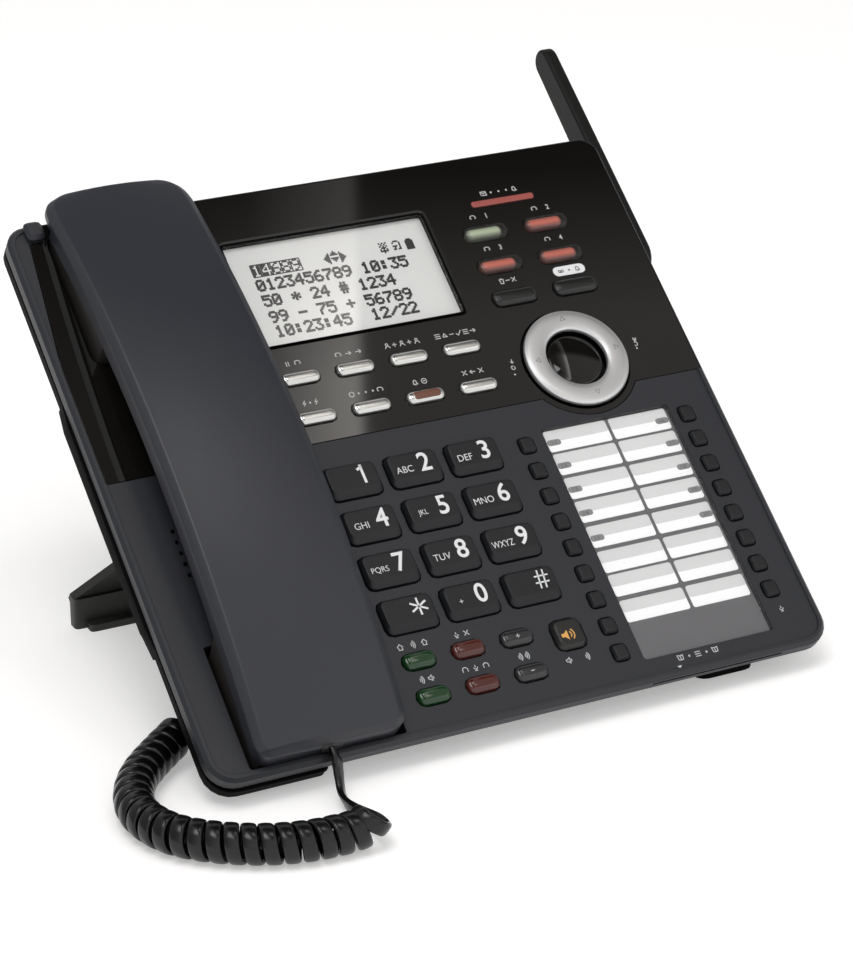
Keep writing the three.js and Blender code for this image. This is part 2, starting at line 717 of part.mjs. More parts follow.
// The outline of the glossy panel, whose left edge leans inwards towards the top
function fasciaSolid(growth, bottom, top) {
  const left = faceBox.left + rimWidth - growth;
  const right = faceBox.right - fasciaMargin / 2 + growth;
  const back = faceBox.back - fasciaMargin / 2 + growth;
  const front = seamY - growth;
  const shape = new THREE.Shape();
  const turn = backLeftRadius - fasciaMargin;
  shape.moveTo(left, front);
  shape.lineTo(right, front);
  shape.lineTo(right, back - backRightRadius + fasciaMargin);
  shape.lineTo(right - backRightRadius + fasciaMargin, back);
  shape.lineTo(left + fasciaTaper + turn, back);
  shape.lineTo(left + fasciaTaper + turn * (1 - Math.SQRT1_2), back - turn * (1 - Math.SQRT1_2));
  shape.lineTo(left + fasciaTaper, back - turn);
  shape.lineTo(left, back - turn - fasciaTaperLength);
  shape.closePath();
  const geometry = new THREE.ExtrudeGeometry(shape, { depth: top - bottom, bevelEnabled: false });
  geometry.translate(0, 0, bottom);
  const tab = turned([[0, bottom], [nav.tab + growth, bottom], [nav.tab + growth, top], [0, top]],
    nav.x, nav.y, navSegments);
  const hornRoom = block(grown(hornBox, gap - growth), bottom - overrun, top + overrun);
  return solid(geometry).add(tab).subtract(hornRoom);
}

function fascia() {
  const panel = fasciaSolid(0, -fasciaThickness, 0);
  const low = -fasciaThickness - overrun;
  const navHole = turned([[0, low], [nav.opening, low], [nav.opening, overrun], [0, overrun]],
    nav.x, nav.y, navSegments);
  const wide = grown(display, displayEdge.chamfer);
  const windowRings = [
    roundedRing(display, four(displayEdge.radius), 0, low, 2),
    roundedRing(display, four(displayEdge.radius), 0, -displayEdge.chamfer, 2),
    roundedRing(wide, four(displayEdge.radius + displayEdge.chamfer), 0, 0, 2),
    roundedRing(wide, four(displayEdge.radius + displayEdge.chamfer), 0, overrun, 2),
  ];
  const earHole = stack(earBox, four(cupRadius), [[0, low], [0, overrun]], 3);
  const lampHole = stack(
    grown(centredBox(lampPlace.x, lampPlace.y, lamp.width, lamp.length), gap),
    four(lamp.length / 2),
    [[0, low], [0, overrun]],
    2,
  );
  return without(panel, [
    navHole,
    solid(loft(windowRings, ['x', 'y'])),
    earHole,
    lampHole,
    ...functionPlaces.map((place) => keyOpening(place, functionCap, low, overrun)),
    ...linePlaces.map((place) => keyOpening(place, lineCap, low, overrun)),
  ]);
}

// Lower housing: band under the upper wall, wedge-shaped belly, hand rails, feet, jacks and vents
function bellyProfile() {
  const [floorFrontY, floorFrontZ] = fromDesk(floorSpan.front, floorHeight);
  const [floorBackY, floorBackZ] = fromDesk(floorSpan.back, floorHeight);
  return [
    [floorFrontY, floorFrontZ],
    [floorBackY, floorBackZ],
    [belly.heelY, -belly.depth],
    [belly.backY, -belly.depth],
    [belly.shoulderY, -belly.shoulderDepth],
    [belly.shoulderY, bandTop],
    [floorFrontY, bandTop],
  ];
}

function lowerHousing() {
  const bandBox = { ...faceBox, front: frontSetback };
  const bandRadii = [frontCornerRadius, frontCornerRadius, backRightRadius, backLeftRadius];
  const band = stack(bandBox, bandRadii,
    [[bandChamfer, bandBottom], [0, bandBottom + bandChamfer], [0, bandTop]], 5);
  const cheekBox = {
    left: faceBox.left,
    right: faceBox.left + cheek.width,
    front: -cheek.forward,
    back: cheek.length,
  };
  const cheekBody = stack(cheekBox, [frontCornerRadius, wall, wall, wall],
    [[bandChamfer, bandBottom], [0, bandBottom + bandChamfer], [0, bandTop]], 5);
  const profile = bellyProfile();
  const bellyBody = acrossProfile(profile, -belly.halfWidth, belly.halfWidth, bellyBevel);
  const rails = [-1, 1].map((side) => {
    const bottom = bandBottom - gap;
    const low = bottom + rail.depth;
    const across = (inset, z) => {
      const outer = side * (faceBox.right + rail.flare - inset);
      const root = side * (faceBox.right - wall);
      const points = [
        [root, rail.front],
        [side * faceBox.right, rail.front],
        [outer, rail.front + rail.runOut],
        [outer, rail.back - rail.runOut],
        [side * faceBox.right, rail.back],
        [root, rail.back],
      ];
      return points.map(([x, y]) => new THREE.Vector3(x, y, z));
    };
    const rings = [
      across(rail.flare / 2, bottom),
      across(0, bottom + rail.flare),
      across(rail.flare / 2, low),
    ];
    const geometry = loft(side > 0 ? rings : rings.map((ring) => [...ring].reverse()), ['x', 'y']);
    return solid(geometry);
  });
  const innerBand = stack(bandBox, bandRadii,
    [[wall, bandBottom + bandFloor], [wall, bandTop + overrun]], 3);
  const innerCheek = stack(cheekBox, [frontCornerRadius, wall, wall, wall],
    [[wall, bandBottom + bandFloor], [wall, bandTop + overrun]], 3);
  const innerProfile = insetProfile(profile, bellyWall);
  const opened = innerProfile.map(([y, z]) => [y, z > bandBottom ? bandTop + overrun : z]);
  const innerBelly = acrossProfile(opened, -belly.halfWidth + bellyWall, belly.halfWidth - bellyWall);

  const [jackY, jackZ] = fromDesk(jack.deskY, jack.deskZ);
  const socketWidth = plug.width + 2 * jack.clearance;
  const socketHeight = plug.height + 2 * jack.clearance;
  const socketBox = (grow) => ({
    left: -belly.halfWidth - overrun,
    right: -belly.halfWidth + plug.length + jack.clearance + grow,
    front: jackY - socketWidth / 2 - grow,
    back: jackY + socketWidth / 2 + grow,
  });
  const jackBody = block(
    { ...socketBox(jack.wall), left: -belly.halfWidth + bellyWall / 2 },
    jackZ - socketHeight / 2 - jack.wall,
    jackZ + socketHeight / 2 + jack.wall,
  );
  const socket = block(socketBox(0), jackZ - socketHeight / 2, jackZ + socketHeight / 2);

  const rearPocket = (x, width, height, grow) => block(
    {
      left: x - width / 2 - grow,
      right: x + width / 2 + grow,
      front: belly.backY - lineJack.depth - grow,
      back: belly.shoulderY + (grow > 0 ? -bellyWall : overrun),
    },
    -lineJack.centreDepth - height / 2 - grow,
    -lineJack.centreDepth + height / 2 + grow,
  );
  const pockets = [
    ...lineJackShares.map((share) => [share * faceWidth, lineJack.width, lineJack.height]),
    [powerInlet.x, powerInlet.width, powerInlet.height],
  ];
  const outside = acrossProfile(profile, -belly.halfWidth, belly.halfWidth);
  const pocketBodies = pockets.map(([x, width, height]) =>
    rearPocket(x, width, height, lineJack.wall).intersect(outside));
  const pocketCuts = pockets.map(([x, width, height]) => rearPocket(x, width, height, 0));

  const pod = stack(
    {
      left: belly.halfWidth - bellyWall,
      right: faceBox.right,
      front: aerial.root - aerialPod.length / 2,
      back: aerial.root + aerialPod.length / 2,
    },
    four(wall),
    [[0, -aerialPod.bottomDepth], [0, bandBottom + bandFloor]],
    2,
  );
  const podTop = block(
    {
      left: boardBox.right + gap,
      right: faceBox.right - wall / 2,
      front: aerial.root - aerialPod.length / 2,
      back: aerial.root + aerialPod.length / 2,
    },
    bandBottom,
    matBottom - gap,
  );
  const pinHole = cylinderAcross(
    aerialPin.radius + aerialPin.clearance,
    faceBox.right - aerialPin.length - aerialPin.clearance,
    faceBox.right + overrun,
    aerial.root,
    -aerial.drop - aerial.rootRadius,
    pinSegments,
  );
  const feet = [-1, 1].map((side) => deskBlock(
    side * foot.x - foot.width / 2,
    side * foot.x + foot.width / 2,
    foot.y - foot.length / 2,
    foot.y + foot.length / 2,
    0,
    floorHeight + bellyWall / 2,
    foot.radius,
  ));
  const postRows = [
    boardBox.front + 2 * boardPost.inset,
    (boardBox.front + boardBox.back) / 2,
    boardBox.back - boardPost.inset,
  ];
  const postPlaces = [boardBox.left + boardPost.inset, boardBox.right - boardPost.inset].flatMap((x) =>
    postRows.map((y) => ({ x, y })));
  const posts = postPlaces.map(({ x, y }) =>
    post(boardPost.radius, x, y, -belly.depth - overrun, boardBottom - gap, boardPost.segments)
      .intersect(outside));
  const vents = [];
  for (let i = 0; i < vent.count; i++) {
    const x = (i - (vent.count - 1) / 2) * vent.pitch;
    vents.push(block(
      centredBox(x, ventShare.centreY * faceLength, vent.width, ventShare.length * faceLength),
      -belly.depth - overrun,
      -belly.depth + bellyWall + overrun,
    ));
  }
  const outer = joined([band, cheekBody, bellyBody, ...rails, pod, ...feet]);
  const hollowed = without(outer, [innerBand, innerCheek, innerBelly]);
  const fitted = joined([hollowed, jackBody, pod, podTop, ...pocketBodies, ...posts]);
  const roomTop = bandTop + overrun;
  const cupRoom = [earBlockOf(cupWall + gap, roomTop), mouthBlockOf(cupWall + gap, roomTop)];
  return without(fitted, [socket, pinHole, ...cupRoom, ...pocketCuts, ...vents]);
}

// Stand: foot along the desk, leaning plate, flange under the belly and ribs behind the plate
function deskStand() {
  const [footTopY, footTopZ] = fromDesk(stand.deskY + stand.footLength / 2, stand.footHeight);
  const plateFront = footTopY - stand.thickness / 2;
  const plateBack = footTopY + stand.thickness / 2;
  const top = -belly.depth - gap;
  const shape = new THREE.Shape([
    new THREE.Vector2(-stand.topHalfWidth, top),
    new THREE.Vector2(-stand.halfWidth, footTopZ),
    new THREE.Vector2(-stand.halfWidth, footTopZ - stand.thickness),
    new THREE.Vector2(stand.halfWidth, footTopZ - stand.thickness),
    new THREE.Vector2(stand.halfWidth, footTopZ),
    new THREE.Vector2(stand.topHalfWidth, top),
  ]);
  const plateGeometry = new THREE.ExtrudeGeometry(shape, { depth: stand.thickness, bevelEnabled: false });
  plateGeometry.rotateX(Math.PI / 2);
  plateGeometry.translate(0, plateBack, 0);
  const footBar = deskBlock(-stand.halfWidth, stand.halfWidth, stand.deskY, stand.deskY + stand.footLength,
    0, stand.footHeight, stand.thickness / 2);
  const pad = deskBlock(-standPad.halfWidth, standPad.halfWidth, stand.deskY - standPad.length,
    stand.deskY + stand.thickness, 0, standPad.height, stand.thickness / 2);
  const flange = block(
    {
      left: -standFlange.halfWidth,
      right: standFlange.halfWidth,
      front: plateFront,
      back: plateFront + standFlange.length,
    },
    top - stand.thickness,
    top,
  );
  const ribs = standRibShares.map((share) => share * faceWidth).map((x) => acrossProfile(
    [[plateFront, top - gap], [plateBack + standRib.reach, top - gap],
      [plateFront, top - standRib.drop]],
    x - stand.thickness / 2,
    x + stand.thickness / 2,
  ));
  return joined([solid(plateGeometry), footBar, pad, flange, ...ribs]);
}

function aerialBody() {
  const left = faceBox.right + aerial.sideGap;
  const rootZ = -aerial.drop - aerial.rootRadius;
  const tipZ = -aerial.drop - aerial.tipRadius;
  const tipY = aerial.tip - aerial.tipRadius;
  const outline = [];
  const steps = 8;
  for (let i = 0; i <= steps; i++) {
    const angle = Math.PI / 2 + (i / steps) * Math.PI;
    outline.push([
      aerial.root + aerial.rootRadius * Math.cos(angle),
      rootZ + aerial.rootRadius * Math.sin(angle),
    ]);
  }
  for (let i = 0; i <= steps; i++) {
    const angle = -Math.PI / 2 + (i / steps) * Math.PI;
    outline.push([
      tipY + aerial.tipRadius * Math.cos(angle),
      tipZ + aerial.tipRadius * Math.sin(angle),
    ]);
  }
  const blade = acrossProfile(outline, left, left + aerial.width, aerial.sideGap);
  const pin = cylinderAcross(aerialPin.radius, faceBox.right - aerialPin.length, left + aerial.sideGap * 2,
    aerial.root, rootZ, pinSegments);
  return blade.add(pin);
}

// Handset: its long edge rises and falls along the face as one arch, a quarter ellipse to each end
function edgeHeight(y) {
  const toEnd = y < handset.peakY ? handset.peakY - handset.front : handset.back - handset.peakY;
  const fall = y < handset.peakY ? handset.fallFront : handset.fallBack;
  const share = Math.min(Math.abs(y - handset.peakY) / toEnd, 1);
  return handset.peak - fall * share ** 2;
}

// Half the width at a place along the handset: rounded corners at the front, a bowed end at the back
const bowLength = 12;
const bowShares = [
  [0, 0.34], [0.03, 0.42], [0.07, 0.5], [0.13, 0.68], [0.2, 0.8], [0.29, 0.875], [0.4, 0.925],
  [0.61, 0.97], [1, 1],
];
function halfWidthAt(y, half, front, back, radius) {
  const toBack = Math.max((back - y) / bowLength, 0);
  const next = bowShares.findIndex(([along]) => along > toBack);
  if (next > 0) {
    const [[from, low], [to, high]] = [bowShares[next - 1], bowShares[next]];
    return half * (low + (high - low) * (toBack - from) / (to - from));
  }
  const toFront = y - front;
  if (toFront >= radius) return half;
  const side = radius - Math.max(toFront, 0);
  return half - radius + Math.sqrt(Math.max(radius ** 2 - side ** 2, 0));
}

const stationShares = [0, 0.006, 0.016, 0.032, 0.06, 0.12, 0.2, 0.3, 0.4, 0.5, 0.6, 0.7, 0.8, 0.88];

function sideDepth(y) {
  const lipStart = earBlock.back;
  if (y <= lipStart) return handsetSection.side;
  return handsetSection.lipSide;
}

function backSection(y, inset) {
  const shrink = inset > 0 ? inset : 0;
  const front = handset.front + shrink;
  const back = handset.back - shrink;
  const radius = Math.max(handsetEnd.radius - shrink, gap);
  const half = halfWidthAt(y, handset.width / 2 - shrink, front, back, radius);
  const toEnd = Math.min(y - front, back - y);
  const rise = Math.min(Math.max(toEnd / handsetEnd.chamfer, 0), 1);
  const edge = edgeHeight(y) - shrink;
  const bottom = edgeHeight(y) - sideDepth(y) - (inset > 0 ? overrun : 0);
  const shoulderIn = handsetSection.shoulderWidth * Math.min(half / handset.width * 2, 1);
  const flatHalf = half - shoulderIn;
  const shoulder = edge + handsetSection.shoulder * rise;
  const crown = edge + handsetSection.crown * rise;
  const crownShare = 0.6;
  const quarterShare = 0.75;
  const quarter = shoulder + (crown - shoulder) * quarterShare;
  const points = [
    [-half, bottom],
    [half, bottom],
    [half, edge],
    [flatHalf, shoulder],
    [flatHalf * crownShare, quarter],
    [0, crown],
    [-flatHalf * crownShare, quarter],
    [-flatHalf, shoulder],
    [-half, edge],
  ];
  return points.map(([x, z]) => new THREE.Vector3(cupCentreX + x, y, z));
}

function backShell() {
  const straight = handset.back - handset.front;
  const ys = (inset) => [
    ...stationShares.map((share) => handset.front + inset + share * (straight - 2 * inset)),
    ...bowShares.map(([along]) => handset.back - inset - along * bowLength),
  ];
  const lipStep = [earBlock.back - gap / 2, earBlock.back + gap / 2];
  const along = (inset) => [...ys(inset), ...lipStep].sort((a, b) => a - b);
  const outer = solid(loft(along(0).map((y) => backSection(y, 0)), ['x', 'z']));
  const innerStations = along(handsetSection.shell);
  const inner = solid(loft(innerStations.map((y) => backSection(y, handsetSection.shell)), ['x', 'z']));
  return without(outer, [inner, plugSocket()]);
}

// The inner shell: its underside follows the arch along the grip and drops to a block in each cup
function undersideAt(y) {
  const arch = edgeHeight(y) - grip.thickness;
  const inMouth = y <= mouthBlock.back;
  const inEar = y >= earBlock.front && y <= earBlock.back;
  if (inMouth) {
    const toe = Math.min((y - mouthBlock.front) / mouthBlock.toeLength, 1);
    return -mouthBlock.toeHeight - (mouthBlock.bottom - mouthBlock.toeHeight) * Math.max(toe, 0);
  }
  if (inEar) return -earBlock.bottom;
  if (y > earBlock.back) return edgeHeight(y) - handsetSection.lipSide - 2 * gap - handsetSection.shell / 2;
  return arch;
}

function bottomHalfAt(y) {
  const inBlock = y <= mouthBlock.back || y >= earBlock.front;
  return inBlock ? blockHalfWidth : grip.halfWidth;
}

function faceSection(y, inset) {
  const frontEnd = mouthBlock.front + inset;
  const top = edgeHeight(y) - sideDepth(y) - gap + (inset > 0 ? overrun : 0);
  const radius = Math.max(handsetEnd.radius - inset, gap);
  const outerHalf = halfWidthAt(y, handset.width / 2 - gap - inset, frontEnd - overrun, handset.back, radius);
  const bottomHalf = Math.min(outerHalf, bottomHalfAt(y) - inset);
  const bottom = Math.min(undersideAt(y) + inset, top - handsetSection.shell / 2);
  const middleShare = 0.35;
  const middle = Math.max(bottom + (top - bottom) * middleShare, bottom);
  const points = [
    [-bottomHalf, bottom],
    [bottomHalf, bottom],
    [Math.max(bottomHalf, outerHalf - handsetSection.shoulderWidth), middle],
    [outerHalf - (inset > 0 ? 0 : gap), top],
    [-outerHalf + (inset > 0 ? 0 : gap), top],
    [-Math.max(bottomHalf, outerHalf - handsetSection.shoulderWidth), middle],
  ];
  return points.map(([x, z]) => new THREE.Vector3(cupCentreX + x, y, z));
}

function faceStations(inset) {
  const step = gap / 2;
  const mouthShares = [0, 0.12, 0.3, 0.65, 1];
  const gripShares = [0, 0.15, 0.35, 0.5, 0.65, 0.85, 1];
  const earShares = [0, 0.5, 1];
  const between = (from, to, shares) => shares.map((share) => from + (to - from) * share);
  return [
    ...between(mouthBlock.front + inset, mouthBlock.back - inset, mouthShares),
    ...between(mouthBlock.back - inset + grip.blend / 3, earBlock.front + inset - grip.blend / 6, gripShares),
    ...between(earBlock.front + inset + step, earBlock.back - inset, earShares),
  ];
}

function faceShell() {
  const outer = solid(loft(faceStations(0).map((y) => faceSection(y, 0)), ['x', 'z']));
  const innerStations = faceStations(handsetSection.shell);
  const inner = solid(loft(innerStations.map((y) => faceSection(y, handsetSection.shell)), ['x', 'z']));
  return without(outer, [inner, plugSocket()]);
}

function plugCentre() {
  return { y: handset.front, z: edgeHeight(handset.front) - plug.height / 2 - rimHeight };
}

function plugSocket() {
  const { y, z } = plugCentre();
  const box = grown(centredBox(cupCentreX, 0, plug.width, 0), jack.clearance);
  return block(
    { left: box.left, right: box.right, front: y - overrun, back: y + plug.length + jack.clearance },
    z - plug.height / 2 - jack.clearance,
    z + plug.height / 2 + jack.clearance,
  );
}

// Builds a modular plug along its cable: latch side up, narrower where the cable comes out
function plugBody(length) {
  const half = plug.width / 2;
  const tall = plug.height / 2;
  const section = (inset, along) => [
    new THREE.Vector3(-half + inset, along, -tall + inset),
    new THREE.Vector3(half - inset, along, -tall + inset),
    new THREE.Vector3(half - inset, along, tall - inset),
    new THREE.Vector3(-half + inset, along, tall - inset),
  ];
  const taper = plug.height / 8;
  return solid(loft([section(taper, 0), section(0, taper), section(0, length)], ['x', 'z']));
}

// Small round pieces
function loudspeaker() {
  const top = -deckThickness - gap;
  return turned([
    [0, top - rimHeight],
    [speaker.magnet, top - rimHeight - speaker.rimDepth],
    [speaker.rim - speaker.rimDepth, top],
    [speaker.rim, top],
    [speaker.rim, top - speaker.rimDepth],
    [speaker.cone, top - speaker.rimDepth - speaker.coneDepth],
    [speaker.magnet, top - speaker.rimDepth - speaker.coneDepth],
    [speaker.magnet, top - speaker.depth],
    [0, top - speaker.depth],
  ], speaker.x, speaker.y, 24);
}

// The ring hovers over the panel on two posts of its rocking frame, so that it can tip every way
function navRing() {
  const middle = (nav.inner + nav.outer) / 2;
  const span = (nav.outer - nav.inner) / 2;
  const domeShares = [[1, 0.28], [0.86, 0.72], [0.45, 1], [0, 1.02], [-0.45, 0.86], [-0.86, 0.5], [-1, 0.28]];
  const dome = domeShares.map(([across, up]) => [middle + span * across, nav.rise * up]);
  return turned([[nav.inner, nav.lift], [nav.outer, nav.lift], ...dome], nav.x, nav.y, navSegments);
}

function navFrame() {
  const top = -navPivot.drop;
  const bottom = top - navPivot.thickness;
  const inner = nav.inner + navPivot.inset;
  const outer = nav.outer - navPivot.inset;
  const frameOutline = [[inner, bottom], [outer, bottom], [outer, top], [inner, top]];
  const frame = turned(frameOutline, nav.x, nav.y, navSegments);
  const toPost = (nav.inner + nav.outer) / 2;
  const pins = [-1, 1].map((side) => block(
    centredBox(nav.x + side * toPost, nav.y, navPivot.postWidth, navPivot.postWidth),
    matTop + gap,
    bottom + gap,
  ));
  const posts = [-1, 1].map((side) => block(
    centredBox(nav.x, nav.y + side * toPost, navPivot.postWidth, navPivot.postWidth),
    top - gap,
    nav.lift - gap,
  ));
  return joined([frame, ...pins, ...posts]);
}

// Casings and boards
add('top_housing', upperHousing(), matt);
add('bottom_housing', lowerHousing(), darkMatt);
add('display_fascia', fascia(), gloss);
add('desk_stand', deskStand(), darkMatt);
add('antenna', aerialBody(), darkMatt);
add('loudspeaker', loudspeaker(), steel);

add('key_mat', stack(matBox, four(frontCornerRadius / 2), [[0, matBottom], [0, matTop]], 2), rubber);
add('circuit_board', stack(boardBox, four(wall), [[0, boardBottom], [0, boardTop]], 2), green);

// Display window and module
const lensTop = -displayLens.recess;
add('lcd_window', stack(grown(display, -gap), four(displayEdge.radius), [[0, lensTop - displayLens.thickness],
  [0, lensTop]], 2), clear);
const moduleTop = -fasciaThickness - gap;
const moduleBottom = matTop + gap;
const viewTop = moduleTop - displayModule.bezelRise;
const moduleBox = {
  left: display.left - displayModule.side,
  right: display.right + displayModule.right,
  front: display.front - displayModule.front,
  back: display.back + displayModule.back,
};
const moduleBody = stack(moduleBox, four(wall / 2), [[0, moduleBottom], [0, moduleTop]], 2);
const viewCut = block(grown(display, displayLens.recess), viewTop, moduleTop + overrun);
add('lcd_module', moduleBody.subtract(viewCut), steel);

// Message lamp: a bar in its slot with a wider foot under the panel
const lampBox = centredBox(lampPlace.x, lampPlace.y, lamp.width, lamp.length);
const lampLevels = [[0, ledgeTop - gap], [0, lamp.proud]];
const lampBar = stack(lampBox, four(lamp.length / 2 - gap), lampLevels, 2);
const lampFoot = block(grown(lampBox, lamp.flange), ledgeTop - lamp.flangeThickness, ledgeTop);
add('message_lamp', joined([lampBar, lampFoot]), redLens);

// Navigation ring on its rocking frame round a fixed centre
add('nav_ring', navRing(), silver);
add('nav_rocker_frame', navFrame(), darkMatt);
const navCapBottom = matTop + gap;
const navCapRadius = nav.inner - navCap.gap;
const navCapOutline = [
  [0, navCapBottom],
  [navCapRadius, navCapBottom],
  [navCapRadius, navCap.edge],
  [navCapRadius - navCap.edge, navCap.rise],
  [0, navCap.rise],
];
add('nav_centre_cap', turned(navCapOutline, nav.x, nav.y, navSegments), gloss);

// Directory card under its clear cover
const cardBox = {
  ...centredBox(cardCover.centreX, 0, cardCover.width - card.margin, 0),
  front: card.front,
  back: cardCover.back - card.margin,
};
const cardTop = -cardCover.thickness - gap;
add('directory_card', stack(cardBox, four(wall), [[0, cardTop - card.thickness], [0, cardTop]], 2), paper);
const coverBox = {
  ...centredBox(cardCover.centreX, 0, cardCover.width, 0),
  front: cardCover.front,
  back: cardCover.back,
};
add('directory_card_cover', stack(coverBox, four(wall / 2), [[0, -cardCover.thickness], [0, 0]], 2), clear);

// Keys
const dialNames = ['1', '2', '3', '4', '5', '6', '7', '8', '9', 'star', '0', 'hash'];
dialPlaces.forEach((place, i) => addKey(`dial_key_${dialNames[i]}`, place, dialCap, deckThickness, keyBlack));
const functionNames = [
  'hold', 'transfer', 'conference', 'menu',
  'flash', 'redial', 'do_not_disturb', 'cancel',
];
functionPlaces.forEach((place, i) =>
  addKey(`function_key_${functionNames[i]}`, place, functionCap, fasciaThickness, silver));
const lineLooks = [greenLens, redLens, redLens, redLens, keyBlack, keyBlack];
const lineNames = ['line_key_1', 'line_key_2', 'line_key_3', 'line_key_4', 'delete_key', 'answer_key'];
linePlaces.forEach((place, i) => addKey(lineNames[i], place, lineCap, fasciaThickness, lineLooks[i]));
const commandLooks = [greenLens, redLens, keyBlack, greenLens, redLens, keyBlack];
const commandNames = [
  'intercom_key', 'mute_key', 'volume_up_key',
  'page_key', 'headset_key', 'volume_down_key',
];
commandPlaces.forEach((place, i) => {
  addKey(commandNames[i], place, commandCap, deckThickness, commandLooks[i]);
});
addKey('speaker_key', speakerKeyPlace, speakerCap, deckThickness, keyBlack);

// A comb of small keys on one springy web
function memoryComb(places, strip) {
  const webTop = -deckThickness - gap;
  const box = {
    ...centredBox(strip.x, 0, memoryCap.width + 2 * memoryWeb.side, 0),
    front: places.at(-1).y - memoryCap.length / 2 - memoryWeb.overhang,
    back: places[0].y + memoryCap.length / 2 + memoryWeb.overhang,
  };
  const web = block(box, webTop - memoryWeb.thickness, webTop);
  const capFoot = webTop - memoryWeb.thickness / 2;
  return joined([web, ...places.map((place) => capSolid(place, memoryCap, capFoot))]);
}
add('memory_keys_left', memoryComb(memoryLeftPlaces, memoryLeft), keyBlack);
add('memory_keys_right', memoryComb(memoryRightPlaces, memoryRight), keyBlack);

// Hook switch plunger in the floor of the ear cup
const hookTop = -earBlock.bottom - gap;
const hookBox = centredBox(cupCentreX, hookY, hookKey.width, hookKey.length);
const hookFlangeTop = -earCup.depth - cupWall - hookKey.rise - gap;
add('hook_plunger', joined([
  stack(hookBox, four(wall), [[0, hookFlangeTop - hookKey.flangeThickness / 2], [0, hookTop - gap],
    [gap, hookTop]], 2),
  block(grown(hookBox, hookKey.flange), hookFlangeTop - hookKey.flangeThickness, hookFlangeTop),
]), keyBlack);

// Handset and what it holds
add('handset_back_shell', backShell(), matt);
add('handset_face_shell', faceShell(), matt);
const earFloor = -earBlock.bottom + handsetSection.shell + gap;
const receiverOutline = [
  [0, earFloor],
  [receiver.radius, earFloor],
  [receiver.radius, earFloor + receiver.thickness / 2],
  [receiver.magnetRadius, earFloor + receiver.thickness],
  [0, earFloor + receiver.thickness],
];
add('handset_receiver', turned(receiverOutline, cupCentreX, receiver.y, receiver.segments), steel);
const mouthFloorZ = -mouthBlock.bottom + handsetSection.shell + gap;
const microphoneOutline = [
  [0, mouthFloorZ],
  [microphone.radius, mouthFloorZ],
  [microphone.radius, mouthFloorZ + microphone.thickness],
  [0, mouthFloorZ + microphone.thickness],
];
add('handset_microphone', turned(microphoneOutline, cupCentreX, microphone.y, microphone.segments), steel);

// Cord and its plugs, in the frame of the desk

// Rings of a closed tube round a path; each ring gives a centre and its two half-width directions.
function tubeOf(rings, sides) {
  const positions = rings.flatMap(({ centre, across, through }) =>
    Array.from({ length: sides }, (_, i) => {
      const angle = (i / sides) * 2 * Math.PI;
      return centre.clone()
        .addScaledVector(across, Math.cos(angle))
        .addScaledVector(through, Math.sin(angle))
        .toArray();
    }).flat());
  const index = [];
  for (let r = 0; r + 1 < rings.length; r++) {
    for (let i = 0; i < sides; i++) {
      const a = r * sides + i;
      const b = r * sides + ((i + 1) % sides);
      index.push(a, b, b + sides, a, b + sides, a + sides);
    }
  }
  const last = (rings.length - 1) * sides;
  for (let i = 1; i + 1 < sides; i++) index.push(0, i + 1, i, last, last + i, last + i + 1);
  const geometry = new THREE.BufferGeometry();
  geometry.setAttribute('position', new THREE.BufferAttribute(new Float32Array(positions), 3));
  geometry.setIndex(index);
  return geometry;
}

// The wire leaves the socket straight, swings out to the radius of the coil and leaves the last turn
// straight.
function coilGeometry() {
  const points = coilRoute.map((point) => new THREE.Vector3(...point));
  const axis = new THREE.CatmullRomCurve3(points, false, 'centripetal');
  const length = axis.getLength();
  const wound = [coilStraight.start / length, 1];
  const steps = Math.round(coil.turns * coil.stepsPerTurn);
  const upright = new THREE.Vector3(0, 0, 1);
  const places = [];
  const place = (share, turns, radius) => {
    const middle = axis.getPointAt(share);
    const along = axis.getTangentAt(share);
    const side = new THREE.Vector3().crossVectors(upright, along).normalize();
    const rise = new THREE.Vector3().crossVectors(along, side);
    const angle = -turns * 2 * Math.PI;
    const outwards = rise.multiplyScalar(Math.cos(angle)).addScaledVector(side, Math.sin(angle));
    places.push({ centre: middle.addScaledVector(outwards, radius), outwards, along });
  };
  const ramp = (turns) => THREE.MathUtils.smoothstep(turns / coil.rampTurns, 0, 1);
  place(0, 0, 0);
  for (let i = 0; i <= steps; i++) {
    const turns = i / coil.stepsPerTurn;
    const radius = coil.radius * ramp(turns);
    place(THREE.MathUtils.lerp(...wound, i / steps), turns, radius);
  }
  const { centre: lastTurn, outwards, along } = places.at(-1);
  const leave = new THREE.Vector3().crossVectors(along, outwards);
  places.push({ centre: lastTurn.clone().addScaledVector(leave, coilStraight.end), outwards, along: leave });
  coilEnd.centre = places.at(-1).centre;
  coilEnd.along = places.at(-1).along;
  const rings = places.map(({ centre, outwards: out, along: ahead }, i) => {
    const inner = i > 0 && i < places.length - 1;
    const tangent = inner ? places[i + 1].centre.clone().sub(places[i - 1].centre).normalize() : ahead;
    const across = new THREE.Vector3().crossVectors(out, tangent).normalize();
    const through = new THREE.Vector3().crossVectors(tangent, across);
    return {
      centre,
      across: across.multiplyScalar(wire.width / 2),
      through: through.multiplyScalar(wire.thickness / 2),
    };
  });
  return tubeOf(rings, coil.sides);
}

// The least distance between points of the tube that lie more than half a turn apart
function leastGap(geometry, sides, apart) {
  const points = geometry.attributes.position;
  const a = new THREE.Vector3();
  const b = new THREE.Vector3();
  let least = Infinity;
  for (let i = 0; i < points.count; i++) {
    a.fromBufferAttribute(points, i);
    for (let j = i + apart * sides; j < points.count; j++) {
      b.fromBufferAttribute(points, j);
      least = Math.min(least, a.distanceTo(b));
    }
  }
  return least;
}

const coilEnd = {};
const cord = new THREE.Group();
cord.name = 'cord';
face.updateMatrix();

